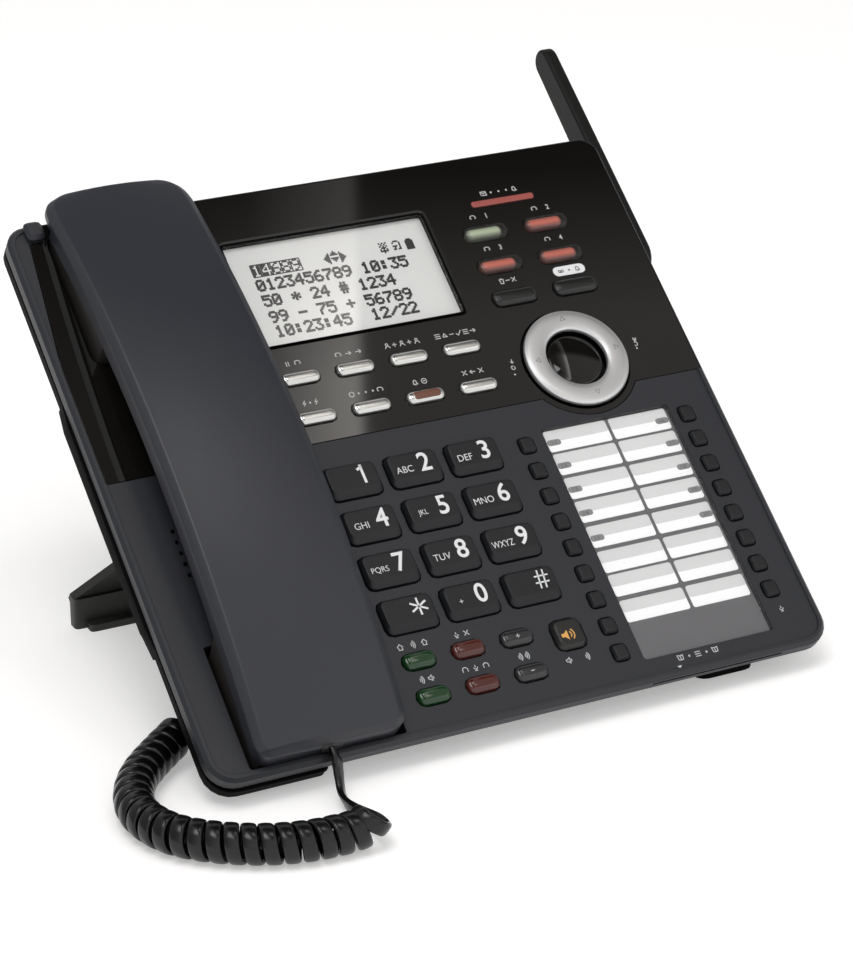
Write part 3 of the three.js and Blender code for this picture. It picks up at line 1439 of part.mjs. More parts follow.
const coilBody = coilGeometry();
coilBody.computeVertexNormals();
const coilGap = leastGap(coilBody, coil.sides, coil.stepsPerTurn / 2 + 1);
console.log(`least gap of the coil to itself ${coilGap.toFixed(2)} mm`);
if (coilGap < coil.leastGap) throw new Error('the coil comes too near to itself');
add('handset_cord_coil', coilBody, glossCord, cord);

function tailGeometry() {
  const plugEnd = plugCentre();
  const handsetEnd = new THREE.Vector3(cupCentreX, plugEnd.y - plugReach - gap / 2, plugEnd.z)
    .applyMatrix4(face.matrix);
  const handsetWay = new THREE.Vector3(0, -1, 0).transformDirection(face.matrix);
  const route = [
    coilEnd.centre.clone().addScaledVector(coilEnd.along, gap / 2),
    coilEnd.centre.clone().addScaledVector(coilEnd.along, coilStraight.end),
    ...tailRoute.map((point) => new THREE.Vector3(...point)),
    handsetEnd.clone().addScaledVector(handsetWay, coilStraight.end),
    handsetEnd,
  ];
  const path = new THREE.CatmullRomCurve3(route, false, 'centripetal');
  const steps = Math.round(path.getLength() / tail.step * 2);
  const along = new THREE.Vector3();
  const rings = Array.from({ length: steps + 1 }, (_, i) => {
    const centre = path.getPointAt(i / steps);
    along.copy(path.getTangentAt(i / steps));
    const across = new THREE.Vector3(1, 0, 0).addScaledVector(along, -along.x).normalize();
    const through = new THREE.Vector3().crossVectors(across, along).negate();
    return {
      centre,
      across: across.multiplyScalar(tail.diameter / 2),
      through: through.multiplyScalar(tail.diameter / 2),
    };
  });
  return tubeOf(rings, tail.sides);
}
const tailBody = tailGeometry();
tailBody.computeVertexNormals();
add('handset_cord_tail', tailBody, glossCord, cord);

const handsetPlug = plugBody(plug.length + plugReach)
  .translate([cupCentreX, plugCentre().y - plugReach, plugCentre().z]);
add('handset_plug', handsetPlug, clear, cord).geometry.applyMatrix4(face.matrix);
const basePlug = plugBody(plug.length).rotate([0, 0, -90])
  .translate([-belly.halfWidth - plugReach / 2, 0, 0])
  .rotate([tiltDegrees, 0, 0])
  .translate([0, jack.deskY, jack.deskZ]);
add('base_plug', basePlug, clear, cord);

// The origin is below the middle of the telephone, measured without the cord and its plugs.
const telephone = new THREE.Group();
telephone.name = 'desk_telephone';
telephone.add(face, cord);
telephone.updateMatrixWorld(true);
const bounds = new THREE.Box3().setFromObject(face, true);
const middle = bounds.getCenter(new THREE.Vector3());
const shift = new THREE.Vector3(-middle.x, -middle.y, -bounds.min.z);
face.position.add(shift);
cord.position.add(shift);
console.log(`shift of the desk frame ${shift.toArray().map((value) => value.toFixed(3)).join(' ')} mm`);

export default telephone;
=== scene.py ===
# Desk telephone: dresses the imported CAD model, lights it and looks at it from the left front.
# Places on the sloping face are millimetres in its own frame: x across, y up the face, z out of it.
import bpy
import bmesh
import math
import numpy as np
from mathutils import Matrix, Vector


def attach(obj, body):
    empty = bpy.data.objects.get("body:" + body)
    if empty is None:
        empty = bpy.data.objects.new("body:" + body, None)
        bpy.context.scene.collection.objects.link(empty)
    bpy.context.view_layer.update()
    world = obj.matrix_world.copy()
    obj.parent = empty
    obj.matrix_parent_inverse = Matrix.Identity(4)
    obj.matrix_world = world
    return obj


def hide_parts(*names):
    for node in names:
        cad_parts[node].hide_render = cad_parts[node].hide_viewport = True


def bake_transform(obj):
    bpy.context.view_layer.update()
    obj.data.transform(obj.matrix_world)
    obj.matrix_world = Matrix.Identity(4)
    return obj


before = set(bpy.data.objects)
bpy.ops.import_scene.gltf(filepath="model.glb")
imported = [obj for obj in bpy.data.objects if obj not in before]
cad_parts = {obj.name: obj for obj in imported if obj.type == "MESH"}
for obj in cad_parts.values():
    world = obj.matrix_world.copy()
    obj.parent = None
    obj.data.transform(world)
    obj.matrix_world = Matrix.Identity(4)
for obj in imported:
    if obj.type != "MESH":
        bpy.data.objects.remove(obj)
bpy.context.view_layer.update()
scene = bpy.context.scene
print("stage: frame loaded")

# the sloping face, as the CAD source has it
face = {"tilt": 37.3, "edgeHeight": 10.4, "shift": (-2.0, -103.315, 0.0), "cupX": -71.208}
slope = math.radians(face["tilt"])
faceAxes = np.array([
    [1.0, 0.0, 0.0],
    [0.0, math.cos(slope), math.sin(slope)],
    [0.0, -math.sin(slope), math.cos(slope)],
])
faceOrigin = np.array(face["shift"]) + np.array([0.0, 0.0, face["edgeHeight"]])


def faceToRow(points):
    # millimetres on the face, turned by the tilt and moved to the row frame, in metres
    return (np.asarray(points, float) @ faceAxes + faceOrigin) * 0.001


def deskToRow(points):
    # millimetres in the frame of the desk, moved to the row frame, in metres
    return (np.asarray(points, float) + np.array(face["shift"])) * 0.001


def addObject(name, data):
    item = bpy.data.objects.new(name, data)
    scene.collection.objects.link(item)
    return item


# shapes as whole arrays


def makePiece(name, points, faces, look, body=None, replaces=(), sharp=40):
    # a mesh from an array of points in metres and a list of arrays of faces with equal corner counts
    mesh = bpy.data.meshes.new(name)
    loops = [np.asarray(group, np.int32) for group in faces if len(group)]
    corners = np.concatenate([group.ravel() for group in loops])
    counts = np.concatenate([np.full(len(group), group.shape[1], np.int32) for group in loops])
    starts = np.concatenate([[0], np.cumsum(counts)[:-1]]).astype(np.int32)
    mesh.vertices.add(len(points))
    mesh.vertices.foreach_set("co", np.asarray(points, np.float32).ravel())
    mesh.loops.add(len(corners))
    mesh.loops.foreach_set("vertex_index", corners)
    mesh.polygons.add(len(counts))
    mesh.polygons.foreach_set("loop_start", starts)
    mesh.update(calc_edges=True)
    mesh.validate()
    mesh.shade_smooth()
    mesh.set_sharp_from_angle(angle=math.radians(sharp))
    piece = addObject(name, mesh)
    mesh.materials.append(looks[look])
    if body:
        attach(piece, body)
    if replaces:
        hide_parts(*replaces)
    return piece


def facePiece(name, shape, look, body, replaces=(), sharp=40):
    # the same from points and faces in millimetres on the face
    return makePiece(name, faceToRow(shape[0]), shape[1], look, body, replaces, sharp)


def ringFaces(rows, columns):
    # quads between neighbouring rings of points
    r = np.arange(rows - 1)[:, None] * columns
    c = np.arange(columns)[None, :]
    after = (c + 1) % columns
    return np.stack([r + c, r + after, r + columns + after, r + columns + c], -1).reshape(-1, 4)


def outward(points, faces):
    # turns every face over where the body's volume, summed over fans of triangles, comes out below zero
    total = 0.0
    for group in faces:
        for i in range(1, group.shape[1] - 1):
            total += np.sum(points[group[:, 0]] * np.cross(points[group[:, i]], points[group[:, i + 1]]))
    return points, [group[:, ::-1] if total < 0 else group for group in faces]


def closedRings(rings):
    # a closed body from an array of rings, with a flat end at the first ring and at the last
    rows, columns = rings.shape[:2]
    low = np.arange(columns)[::-1][None, :]
    high = (np.arange(columns) + (rows - 1) * columns)[None, :]
    return outward(rings.reshape(-1, 3), [ringFaces(rows, columns), low, high])


def loopedRings(rings):
    # a closed body from rings whose last one joins the first again
    rows, columns = rings.shape[:2]
    points = rings.reshape(-1, 3)
    return outward(points, [ringFaces(rows + 1, columns) % len(points)])


def plate(outline, low, high):
    # a flat body: one outline of points x, y at two heights
    outline = np.asarray(outline, float)[:, :2]
    return closedRings(np.array([np.column_stack([outline, np.full(len(outline), z)]) for z in (low, high)]))


def ribbon(points, width, low, high, closed=False):
    # a line of a given width as a flat body; its sides lie half a width to the left and right of it
    points = np.asarray(points, float)[:, :2]
    before = np.roll(points, 1, 0) if closed else np.vstack([2 * points[0] - points[1], points[:-1]])
    after = np.roll(points, -1, 0) if closed else np.vstack([points[1:], 2 * points[-1] - points[-2]])
    first, second = unit(points - before), unit(after - points)
    way = unit(first + second)
    stretch = 1 / np.maximum(np.sum(way * second, -1), 0.5)
    side = np.column_stack([-way[:, 1], way[:, 0]]) * (stretch * width / 2)[:, None]
    edges = [(points - side, low), (points + side, low), (points + side, high), (points - side, high)]
    rings = np.stack([np.column_stack([p, np.full(len(p), z)]) for p, z in edges], 1)
    return loopedRings(rings) if closed else closedRings(rings)


def joinShapes(shapes):
    # several bodies as one: points one after the other, faces counted on and grouped by corner count
    points, groups, count = [], {}, 0
    for shapePoints, faces in shapes:
        for group in faces:
            if len(group):
                groups.setdefault(group.shape[1], []).append(group + count)
        points.append(shapePoints)
        count += len(shapePoints)
    return np.concatenate(points), [np.concatenate(group) for group in groups.values()]


def softCorners(rings, cuts, steps=3):
    # each inner ring gives way to a short curve from a cut before the ring to a cut after it. With t the
    # share of the way along it, a point is one less t squared of the start, twice t times one less t of
    # the ring, and t squared of the end
    rings = np.asarray(rings, float)
    made = [rings[0]]
    t = np.linspace(0, 1, steps + 1)[:, None, None]
    for i in range(1, len(rings) - 1):
        cut = cuts[i - 1]
        if cut <= 0:
            made.append(rings[i])
            continue
        back, ahead = rings[i - 1] - rings[i], rings[i + 1] - rings[i]
        backLength = np.linalg.norm(back, axis=-1, keepdims=True) + 1e-9
        aheadLength = np.linalg.norm(ahead, axis=-1, keepdims=True) + 1e-9
        start = rings[i] + back * np.minimum(cut / backLength, 0.48)
        end = rings[i] + ahead * np.minimum(cut / aheadLength, 0.48)
        made.extend((1 - t) ** 2 * start + 2 * t * (1 - t) * rings[i] + t ** 2 * end)
    made.append(rings[-1])
    return np.array(made)


def roundedBox(left, right, front, back, radius, z, steps):
    # a rectangle with quarter circles at its corners, as one ring of points
    angles = np.linspace(0, math.pi / 2, steps + 1)
    quarter = np.stack([np.cos(angles), np.sin(angles)], -1) * radius
    turn = np.array([[0.0, 1.0], [-1.0, 0.0]])
    middles = [(right - radius, back - radius), (left + radius, back - radius),
               (left + radius, front + radius), (right - radius, front + radius)]
    sides, here = [], quarter
    for middle in middles:
        sides.append(here + np.array(middle))
        here = here @ turn
    flat = np.concatenate(sides)
    return np.column_stack([flat, np.full(len(flat), float(z))])


def boxRing(x, y, width, length, radius, z, inset=0.0, front=0.0):
    # the same ring from a middle and sizes, drawn in by inset, and by front more on its front side
    return roundedBox(x - width / 2 + inset, x + width / 2 - inset, y - length / 2 + inset + front,
                      y + length / 2 - inset, max(radius - inset, 0.15), z, 6)


def roundAngles(count):
    # angles that go once round, evenly spaced
    return np.linspace(0, 2 * math.pi, count, endpoint=False)


def unit(vectors):
    # each vector at length one
    return vectors / (np.linalg.norm(vectors, axis=-1, keepdims=True) + 1e-12)


def turnedShape(profile, x, y, steps):
    # an outline of radius and height, turned about the upright line through x, y, as rings
    profile = np.asarray(profile, float)
    angles = roundAngles(steps)
    return np.stack([
        x + profile[:, 0, None] * np.cos(angles),
        y + profile[:, 0, None] * np.sin(angles),
        np.repeat(profile[:, 1, None], steps, 1),
    ], -1)


def between(t, ta, tb, a, b):
    # a at ta, b at tb and their mix in proportion between
    return (tb - t) / (tb - ta) * a + (t - ta) / (tb - ta) * b


def smoothRoute(points, perSpan):
    # a smooth curve through all points: each span is blended from its four nearest points, and a point's
    # time grows with the square root of the distance to it
    points = np.asarray(points, float)
    first, last = 2 * points[0] - points[1], 2 * points[-1] - points[-2]
    p = np.vstack([first, points, last])
    gaps = np.maximum(np.linalg.norm(np.diff(p, axis=0), axis=1) ** 0.5, 1e-6)
    made = []
    for i in range(1, len(p) - 2):
        t0, t1 = 0.0, gaps[i - 1]
        t2, t3 = t1 + gaps[i], t1 + gaps[i] + gaps[i + 1]
        t = np.linspace(t1, t2, perSpan, endpoint=False)[:, None]
        a1 = between(t, t0, t1, p[i - 1], p[i])
        a2 = between(t, t1, t2, p[i], p[i + 1])
        a3 = between(t, t2, t3, p[i + 1], p[i + 2])
        made.append(between(t, t1, t2, between(t, t0, t2, a1, a2), between(t, t1, t3, a2, a3)))
    made.append(p[-2][None, :])
    return np.concatenate(made)


def lengthAlong(points):
    # the running length of a line of points
    return np.concatenate([[0.0], np.cumsum(np.linalg.norm(np.diff(points, axis=0), axis=1))])


def placesAlong(points, lengths):
    # the points of a line at given running lengths
    run = lengthAlong(points)
    return np.stack([np.interp(lengths, run, points[:, i]) for i in range(3)], -1)


def ease(value):
    # rises smoothly from 0 to 1: three times its square less twice its cube
    value = np.clip(value, 0, 1)
    return value * value * (3 - 2 * value)


def readArray(items, key, kind, width=1):
    values = np.empty(len(items) * width, kind)
    items.foreach_get(key, values)
    return values


def cleanCopy(node, name, look, body="base"):
    # a merged copy of a CAD node: flat areas become few faces, and only its small steps are shaded soft
    work = bmesh.new()
    work.from_mesh(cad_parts[node].data)
    bmesh.ops.remove_doubles(work, verts=work.verts, dist=2e-6)
    bmesh.ops.dissolve_limit(work, angle_limit=math.radians(0.3), verts=work.verts, edges=work.edges)
    mesh = bpy.data.meshes.new(name)
    work.to_mesh(mesh)
    work.free()
    if "custom_normal" in mesh.attributes:
        mesh.attributes.remove(mesh.attributes["custom_normal"])
    mesh.materials.clear()
    mesh.materials.append(looks[look])
    mesh.shade_smooth()
    mesh.polygons.foreach_set("use_smooth", readArray(mesh.polygons, "area", float) < 3e-5)
    mesh.set_sharp_from_angle(angle=math.radians(30))
    piece = addObject(name, mesh)
    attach(piece, body)
    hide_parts(node)


def letterShape(text, x, y, height, wide, weight, low, high):
    # one line of type about a middle: its filled outline is given a thickness, and scaled to a height
    curve = bpy.data.curves.new("type", "FONT")
    curve.body = text
    curve.offset = weight
    curve.extrude = 0.5
    curve.resolution_u = 5
    item = bpy.data.objects.new("type", curve)
    mesh = bpy.data.meshes.new_from_object(item)
    work = bmesh.new()
    work.from_mesh(mesh)
    bmesh.ops.remove_doubles(work, verts=work.verts, dist=1e-5)
    bmesh.ops.recalc_face_normals(work, faces=work.faces)
    work.to_mesh(mesh)
    work.free()
    points = readArray(mesh.vertices, "co", float, 3).reshape(-1, 3)
    corners = readArray(mesh.loops, "vertex_index", np.int32)
    starts = readArray(mesh.polygons, "loop_start", np.int32)
    totals = readArray(mesh.polygons, "loop_total", np.int32)
    faces = [corners[starts[totals == n][:, None] + np.arange(n)] for n in np.unique(totals)]
    bpy.data.meshes.remove(mesh)
    bpy.data.objects.remove(item)
    bpy.data.curves.remove(curve)
    small, large = points.min(0), points.max(0)
    scale = height / (large[1] - small[1])
    points = (points - (small + large) / 2) * [scale * wide, scale, high - low]
    return points + [x, y, (low + high) / 2], faces


# materials


def newMaterial(name):
    material = bpy.data.materials.new(name)
    material.use_nodes = True
    return material, material.node_tree, material.node_tree.nodes["Principled BSDF"]


def feed(tree, node, inputs):
    # links what is a socket and sets what is a value
    for key, value in dict(inputs).items():
        if isinstance(value, bpy.types.NodeSocket):
            tree.links.new(value, node.inputs[key])
        else:
            node.inputs[key].default_value = value


def addNode(tree, kind, inputs=(), **settings):
    node = tree.nodes.new(f"ShaderNode{kind}")
    for key, value in settings.items():
        setattr(node, key, value)
    feed(tree, node, inputs)
    return node


def noiseNode(tree, place, scale, detail, roughness=0.5):
    return addNode(tree, "TexNoise", {"Vector": place, "Scale": scale, "Detail": detail,
                                      "Roughness": roughness}).outputs["Fac"]


def mapNode(tree, value, low, high, toLow, toHigh, **settings):
    # stretches the range from low to high over the range from toLow to toHigh
    return addNode(tree, "MapRange", {"Value": value, "From Min": low, "From Max": high, "To Min": toLow,
                                      "To Max": toHigh}, **settings).outputs["Result"]


def mathNode(tree, kind, first, second):
    return addNode(tree, "Math", {0: first, 1: second}, operation=kind).outputs[0]


def mixNode(tree, share, first, second):
    return addNode(tree, "Mix", {"Factor": share, "A": (*first, 1), "B": (*second, 1)},
                   data_type="RGBA").outputs["Result"]


def mouldedPlastic(name, values):
    # moulded plastic: a fine spark grain, faint clouding of colour, a little unevenness in its sheen and
    # edges that catch the light as a small radius does
    material, tree, shader = newMaterial(name)
    place = addNode(tree, "TexCoord").outputs["Object"]
    tone = mixNode(tree, noiseNode(tree, place, 26.0, 3.0, 0.55), values["dark"], values["light"])
    if "paintedRimShade" in values:
        # a lamp insert: painted shade, darker at its rim than over its top
        rim = addNode(tree, "Attribute", attribute_name="rim").outputs["Fac"]
        shade = mapNode(tree, rim, 0.0, 1.0, values["paintedRimShade"], 1.0, interpolation_type="SMOOTHSTEP")
        tone = addNode(tree, "VectorMath", {0: tone, "Scale": shade}, operation="SCALE").outputs["Vector"]
    grain = noiseNode(tree, place, values.get("grainScale", 2200.0), 2.0)
    edge = addNode(tree, "Bevel", {"Radius": values.get("edge", 0.0003)}, samples=4)
    bump = addNode(tree, "Bump", {"Strength": values.get("grain", 0.12), "Distance": 0.00006, "Height": grain,
                                  "Normal": edge.outputs["Normal"]})
    feed(tree, shader, {
        "Base Color": tone,
        "Roughness": mapNode(tree, grain, 0.3, 0.7, values["roughness"] * 0.9, values["roughness"] * 1.12),
        "Normal": bump.outputs["Normal"],
        "IOR": values.get("ior", 1.48),
        "Metallic": values.get("metallic", 0.0),
        "Emission Color": (1, 1, 1, 1),
        "Emission Strength": values.get("glow", 0.0),
    })
    return material


def thinGloss(name, values):
    # a thin clear sheet: what lies under it shows through and a small share of the light is mirrored
    material, tree, shader = newMaterial(name)
    cloud = noiseNode(tree, addNode(tree, "TexCoord").outputs["Object"], 60.0, 2.0)
    feed(tree, shader, {
        "Alpha": mapNode(tree, cloud, 0.3, 0.7, values["share"] * 0.94, values["share"] * 1.06),
        "Base Color": (0.96, 0.96, 0.97, 1),
        "Metallic": 1.0,
        "Roughness": values["roughness"],
    })
    return material


def tintedLens(name, values):
    # clear tinted plastic with a faint ripple in its gloss
    material, tree, shader = newMaterial(name)
    ripple = noiseNode(tree, addNode(tree, "TexCoord").outputs["Object"], 420.0, 1.0)
    bump = addNode(tree, "Bump", {"Strength": 0.05, "Distance": 0.0001, "Height": ripple})
    feed(tree, shader, {
        "Base Color": mixNode(tree, ripple, values["tint"], [c * 0.86 for c in values["tint"]]),
        "Normal": bump.outputs["Normal"],
        "Roughness": values.get("roughness", 0.08),
        "IOR": 1.49,
        "Alpha": values.get("alpha", 1.0),
        "Coat Weight": values.get("coat", 0.25),
        "Coat Roughness": 0.04,
    })
    return material


plastics = {
    "housing": ["housing satin plastic", {"dark": (0.0128, 0.0136, 0.0182), "light": (0.0162, 0.0172, 0.0222),
        "roughness": 0.46}],
    "handset": ["handset satin plastic", {"dark": (0.0172, 0.0184, 0.0244), "light": (0.0212, 0.0226, 0.0294),
        "roughness": 0.37}],
    "lower": ["lower housing matt plastic", {"dark": (0.0022, 0.0022, 0.0021), "light": (0.0032, 0.0032, 0.003),
        "roughness": 0.6, "grain": 0.25, "ior": 1.14}],
    "stand": ["stand matt plastic", {"dark": (0.017, 0.017, 0.0145), "light": (0.0225, 0.0225, 0.019),
        "roughness": 0.5, "grain": 0.25}],
    "aerial": ["aerial satin plastic", {"dark": (0.004, 0.004, 0.0038), "light": (0.0056, 0.0056, 0.0052),
        "roughness": 0.5, "grain": 0.06, "ior": 1.3}],
    "gloss": ["glossy panel plastic", {"dark": (0.0046, 0.0042, 0.0036), "light": (0.0056, 0.0052, 0.0046),
        "roughness": 0.04, "grain": 0.0, "grainScale": 900.0, "ior": 1.5, "edge": 0.00015}],
    "key": ["key satin plastic", {"dark": (0.006, 0.0064, 0.008), "light": (0.0082, 0.0087, 0.0105),
        "roughness": 0.42, "ior": 1.42, "edge": 0.00015}],
    "blackKey": ["black key plastic", {"dark": (0.0085, 0.009, 0.0085), "light": (0.011, 0.0115, 0.011),
        "roughness": 0.24}],
    "keySilver": ["silver key plastic", {"dark": (0.62, 0.62, 0.6), "light": (0.7, 0.7, 0.68), "roughness": 0.2,
        "metallic": 0.95, "grain": 0.04, "grainScale": 3800.0, "edge": 0.0001}],
    "cord": ["cord gloss jacket", {"dark": (0.0012, 0.0015, 0.0014), "light": (0.002, 0.0023, 0.0022),
        "roughness": 0.24, "grain": 0.02, "grainScale": 1400.0, "edge": 0.0001, "ior": 1.46}],
    "steel": ["pressed steel", {"dark": (0.4, 0.4, 0.41), "light": (0.5, 0.5, 0.51), "roughness": 0.32,
        "metallic": 0.95, "grain": 0.1, "grainScale": 1600.0}],
    "paperCone": ["pressed paper cone", {"dark": (0.02, 0.02, 0.02), "light": (0.034, 0.033, 0.031),
        "roughness": 0.8, "grain": 0.5, "grainScale": 1500.0}],
    "board": ["board lacquer", {"dark": (0.012, 0.075, 0.03), "light": (0.018, 0.1, 0.042), "roughness": 0.3,
        "grain": 0.1}],
    "rubber": ["key mat rubber", {"dark": (0.012, 0.012, 0.012), "light": (0.02, 0.02, 0.02), "roughness": 0.75,
        "grain": 0.3}],
    "display": ["display paper white", {"dark": (0.62, 0.62, 0.605), "light": (0.66, 0.66, 0.645),
        "roughness": 0.55, "grain": 0.02, "glow": 0.03}],
    "ink": ["display dark segments", {"dark": (0.01, 0.01, 0.012), "light": (0.016, 0.016, 0.018),
        "roughness": 0.6, "grain": 0.02}],
    "print": ["pale printing ink", {"dark": (0.52, 0.52, 0.52), "light": (0.62, 0.62, 0.62), "roughness": 0.55,
        "grain": 0.1}],
    "digit": ["digit printing ink", {"dark": (0.66, 0.66, 0.67), "light": (0.76, 0.76, 0.77), "roughness": 0.5,
        "grain": 0.1}],
    "cardGrey": ["card grey print", {"dark": (0.096, 0.094, 0.101), "light": (0.106, 0.104, 0.111),
        "roughness": 0.6, "grain": 0.15, "grainScale": 1200.0}],
    "cardPale": ["card pale grey print", {"dark": (0.66, 0.66, 0.66), "light": (0.7, 0.7, 0.7),
        "roughness": 0.6, "grain": 0.15, "grainScale": 1200.0}],
    # painted light: the white card paper is given a faint glow
    "cardWhite": ["card white paper", {"dark": (0.93, 0.93, 0.93), "light": (0.96, 0.96, 0.96),
        "roughness": 0.6, "grain": 0.1, "glow": 0.04, "grainScale": 1200.0}],
    "redInsert": ["red lamp insert", {"dark": (0.6, 0.13, 0.09), "light": (0.7, 0.18, 0.125), "roughness": 0.25,
        "grain": 0.02, "glow": 0.008, "paintedRimShade": 0.22}],
    "greenInsert": ["pale green lamp insert", {"dark": (0.46, 0.54, 0.36), "light": (0.56, 0.64, 0.45),
        "roughness": 0.25, "grain": 0.02, "glow": 0.01, "paintedRimShade": 0.22}],
    "brownInsert": ["brown lamp insert", {"dark": (0.115, 0.045, 0.03), "light": (0.15, 0.06, 0.04),
        "roughness": 0.25, "grain": 0.02}],
    # painted light: the amber print is given a faint glow
    "amber": ["amber printing ink", {"dark": (0.62, 0.3, 0.05), "light": (0.7, 0.36, 0.07), "roughness": 0.5,
        "grain": 0.05, "glow": 0.02}],
    "ring": ["silver ring paint", {"dark": (0.62, 0.62, 0.625), "light": (0.68, 0.68, 0.685), "roughness": 0.32,
        "metallic": 0.85, "grain": 0.05, "grainScale": 3800.0}],
    "ringSign": ["ring engraving", {"dark": (0.2, 0.2, 0.2), "light": (0.26, 0.26, 0.26), "roughness": 0.5,
        "grain": 0.05}],
    "cardDark": ["card dark print", {"dark": (0.085, 0.085, 0.085), "light": (0.11, 0.11, 0.11),
        "roughness": 0.6, "grain": 0.1}],
    "lamp": ["message lamp lens", {"dark": (0.28, 0.065, 0.055), "light": (0.34, 0.085, 0.07), "roughness": 0.3,
        "grain": 0.02}],
    "inner": ["inner shell matt plastic", {"dark": (0.019, 0.017, 0.0155), "light": (0.023, 0.0205, 0.019),
        "roughness": 0.46}],
    "gasket": ["display gasket foam", {"dark": (0.0022, 0.0022, 0.0022), "light": (0.0036, 0.0036, 0.0036),
        "roughness": 0.75, "grain": 0.2, "ior": 1.15}],
    "pill": ["card mid grey print", {"dark": (0.2, 0.2, 0.205), "light": (0.23, 0.23, 0.235), "roughness": 0.6,
        "grain": 0.1}],
}
lenses = {
    "clearSmoke": ["smoked clear lens", {"tint": (0.1, 0.095, 0.09), "alpha": 0.2, "coat": 1.0}],
    "volume": ["smoky grey lens", {"tint": (0.02, 0.02, 0.021), "roughness": 0.16}],
    "darkRed": ["dark red lens", {"tint": (0.07, 0.014, 0.01)}],
    "darkGreen": ["dark green lens", {"tint": (0.005, 0.036, 0.008)}],
    "plug": ["clear plug plastic", {"tint": (0.01, 0.01, 0.01), "alpha": 0.92, "roughness": 0.28, "coat": 0.0}],
}
sheets = {
    "cover": ["clear cover sheet", {"share": 0.045, "roughness": 0.05}],
    "window": ["display window", {"share": 0.045, "roughness": 0.02}],
}
looks = {key: mouldedPlastic(*entry) for key, entry in plastics.items()}
looks.update((key, tintedLens(*entry)) for key, entry in lenses.items())
looks.update((key, thinGloss(*entry)) for key, entry in sheets.items())
print("stage: materials")

# camera at the photograph's angle, floor, lamps and the card that the gloss mirrors
camera = {
    "place": (-0.43721, -0.877445, 0.47688),
    "lens": 119.705,
    "right": (0.89027472, -0.36250264, 0.27568597),
    "down": (-0.18268685, -0.83875884, -0.51294164),
    "ahead": (0.41717675, 0.40629477, -0.81295026),
}


def addCamera(values):
    data = bpy.data.cameras.new("photo camera")
    data.sensor_fit = "VERTICAL"
    data.sensor_height = 36.0
    data.lens = values["lens"]
    data.clip_end = 20.0
    right, down, ahead = np.array([values["right"], values["down"], values["ahead"]]) @ faceAxes
    rows = np.column_stack([right, -down, -ahead, values["place"]])
    item = addObject("photo camera", data)
    item.matrix_world = Matrix([*rows.tolist(), (0, 0, 0, 1)])
    scene.camera = item


addCamera(camera)

studio = {
    "worldSide": 0.38,
    "worldHigh": 0.48,
    "worldFront": 0.66,
    "floorHalf": 6,
    "floorColour": (0.80, 0.79, 0.785),
    "floorGlow": 0.34,
    "lamps": {
        "key lamp": {"place": (-0.5, -0.4, 1.7), "target": (0, 0, 0.05), "size": (0.9, 0.9), "power": 12.5},
        "fill lamp": {"place": (1.2, -1.0, 1.1), "target": (0, 0, 0.05), "size": (1.2, 0.9), "power": 1.5},
        "back lamp": {"place": (0.2, 1.5, 1.2), "target": (0, 0, 0.08), "size": (1.6, 0.7), "power": 1.0},
        "soft box": {"place": (0.20, -0.36, 1.5), "target": (-0.06, 0, 0.08), "size": (0.26, 0.36),
                     "power": 1.3},
    },
}


def addSheet(name, corners, material):
    mesh = bpy.data.meshes.new(name)
    mesh.from_pydata([tuple(corner) for corner in corners], [], [(0, 1, 2, 3)])
    mesh.materials.append(material)
    item = addObject(name, mesh)
    return item


def addFloor(values):
    # a wide pale sheet; what the camera, gloss and clear plastic see of it is lifted towards white
    material, tree, shader = newMaterial("floor paper")
    rays = addNode(tree, "LightPath").outputs
    seen = mathNode(tree, "MAXIMUM", rays["Is Camera Ray"], rays["Is Glossy Ray"])
    seen = mathNode(tree, "MAXIMUM", seen, rays["Is Transmission Ray"])
    feed(tree, shader, {
        "Base Color": (*values["floorColour"], 1),
        "Roughness": 0.9,
        "Specular IOR Level": 0.1,
        "Emission Color": (1, 0.995, 0.99, 1),
        "Emission Strength": mathNode(tree, "MULTIPLY", seen, values["floorGlow"]),
    })
    half = values["floorHalf"]
    addSheet("studio floor", [(-half, -half, 0), (half, -half, 0), (half, half, 0), (-half, half, 0)], material)


def addWorld(values):
    # a pale room, brightest in front
    world = bpy.data.worlds.new("pale room")
    scene.world = world
    world.use_nodes = True
    tree = world.node_tree
    way = addNode(tree, "SeparateXYZ", {"Vector": addNode(tree, "TexCoord").outputs["Generated"]}).outputs
    level = mapNode(tree, way["Z"], 0.0, 0.75, values["worldSide"], values["worldHigh"])
    front = mapNode(tree, way["Y"], -0.85, -0.25, values["worldFront"], 0.0)
    feed(tree, tree.nodes["Background"], {"Color": (1, 1, 1, 1),
                                          "Strength": mathNode(tree, "ADD", level, front)})


def addLamp(name, values):
    data = bpy.data.lights.new(name, "AREA")
    data.shape = "RECTANGLE"
    data.size, data.size_y = values["size"]
    data.energy = values["power"]
    item = addObject(name, data)
    item.location = values["place"]
    way = Vector(values["target"]) - Vector(values["place"])
    item.rotation_euler = way.to_track_quat("-Z", "Y").to_euler()


addFloor(studio)
addWorld(studio)
for name, values in studio["lamps"].items():
    addLamp(name, values)

ceiling = {
    "height": 1.6,
    "reach": 1.1,
    "edge": ((16.7, 206.0), (-18.7, 107.1)),
    "left": (-100.0, 150.0),
    "bright": 0.75,
    "fade": 0.03,
    "frontGain": 4.5,
    "dim": 0.02,
    "dimFront": 0.52,
    "colour": (1, 0.955, 0.91, 1),
}


def mirroredPlace(x, y, height):
    # where the camera's ray, mirrored in the face at x, y, meets a level sheet
    spot = faceToRow([[x, y, 0.0]])[0]
    ray = spot - np.array(camera["place"])
    ray = ray - 2 * (ray @ faceAxes[2]) * faceAxes[2]
    return spot + ray * (height - spot[2]) / ray[2]


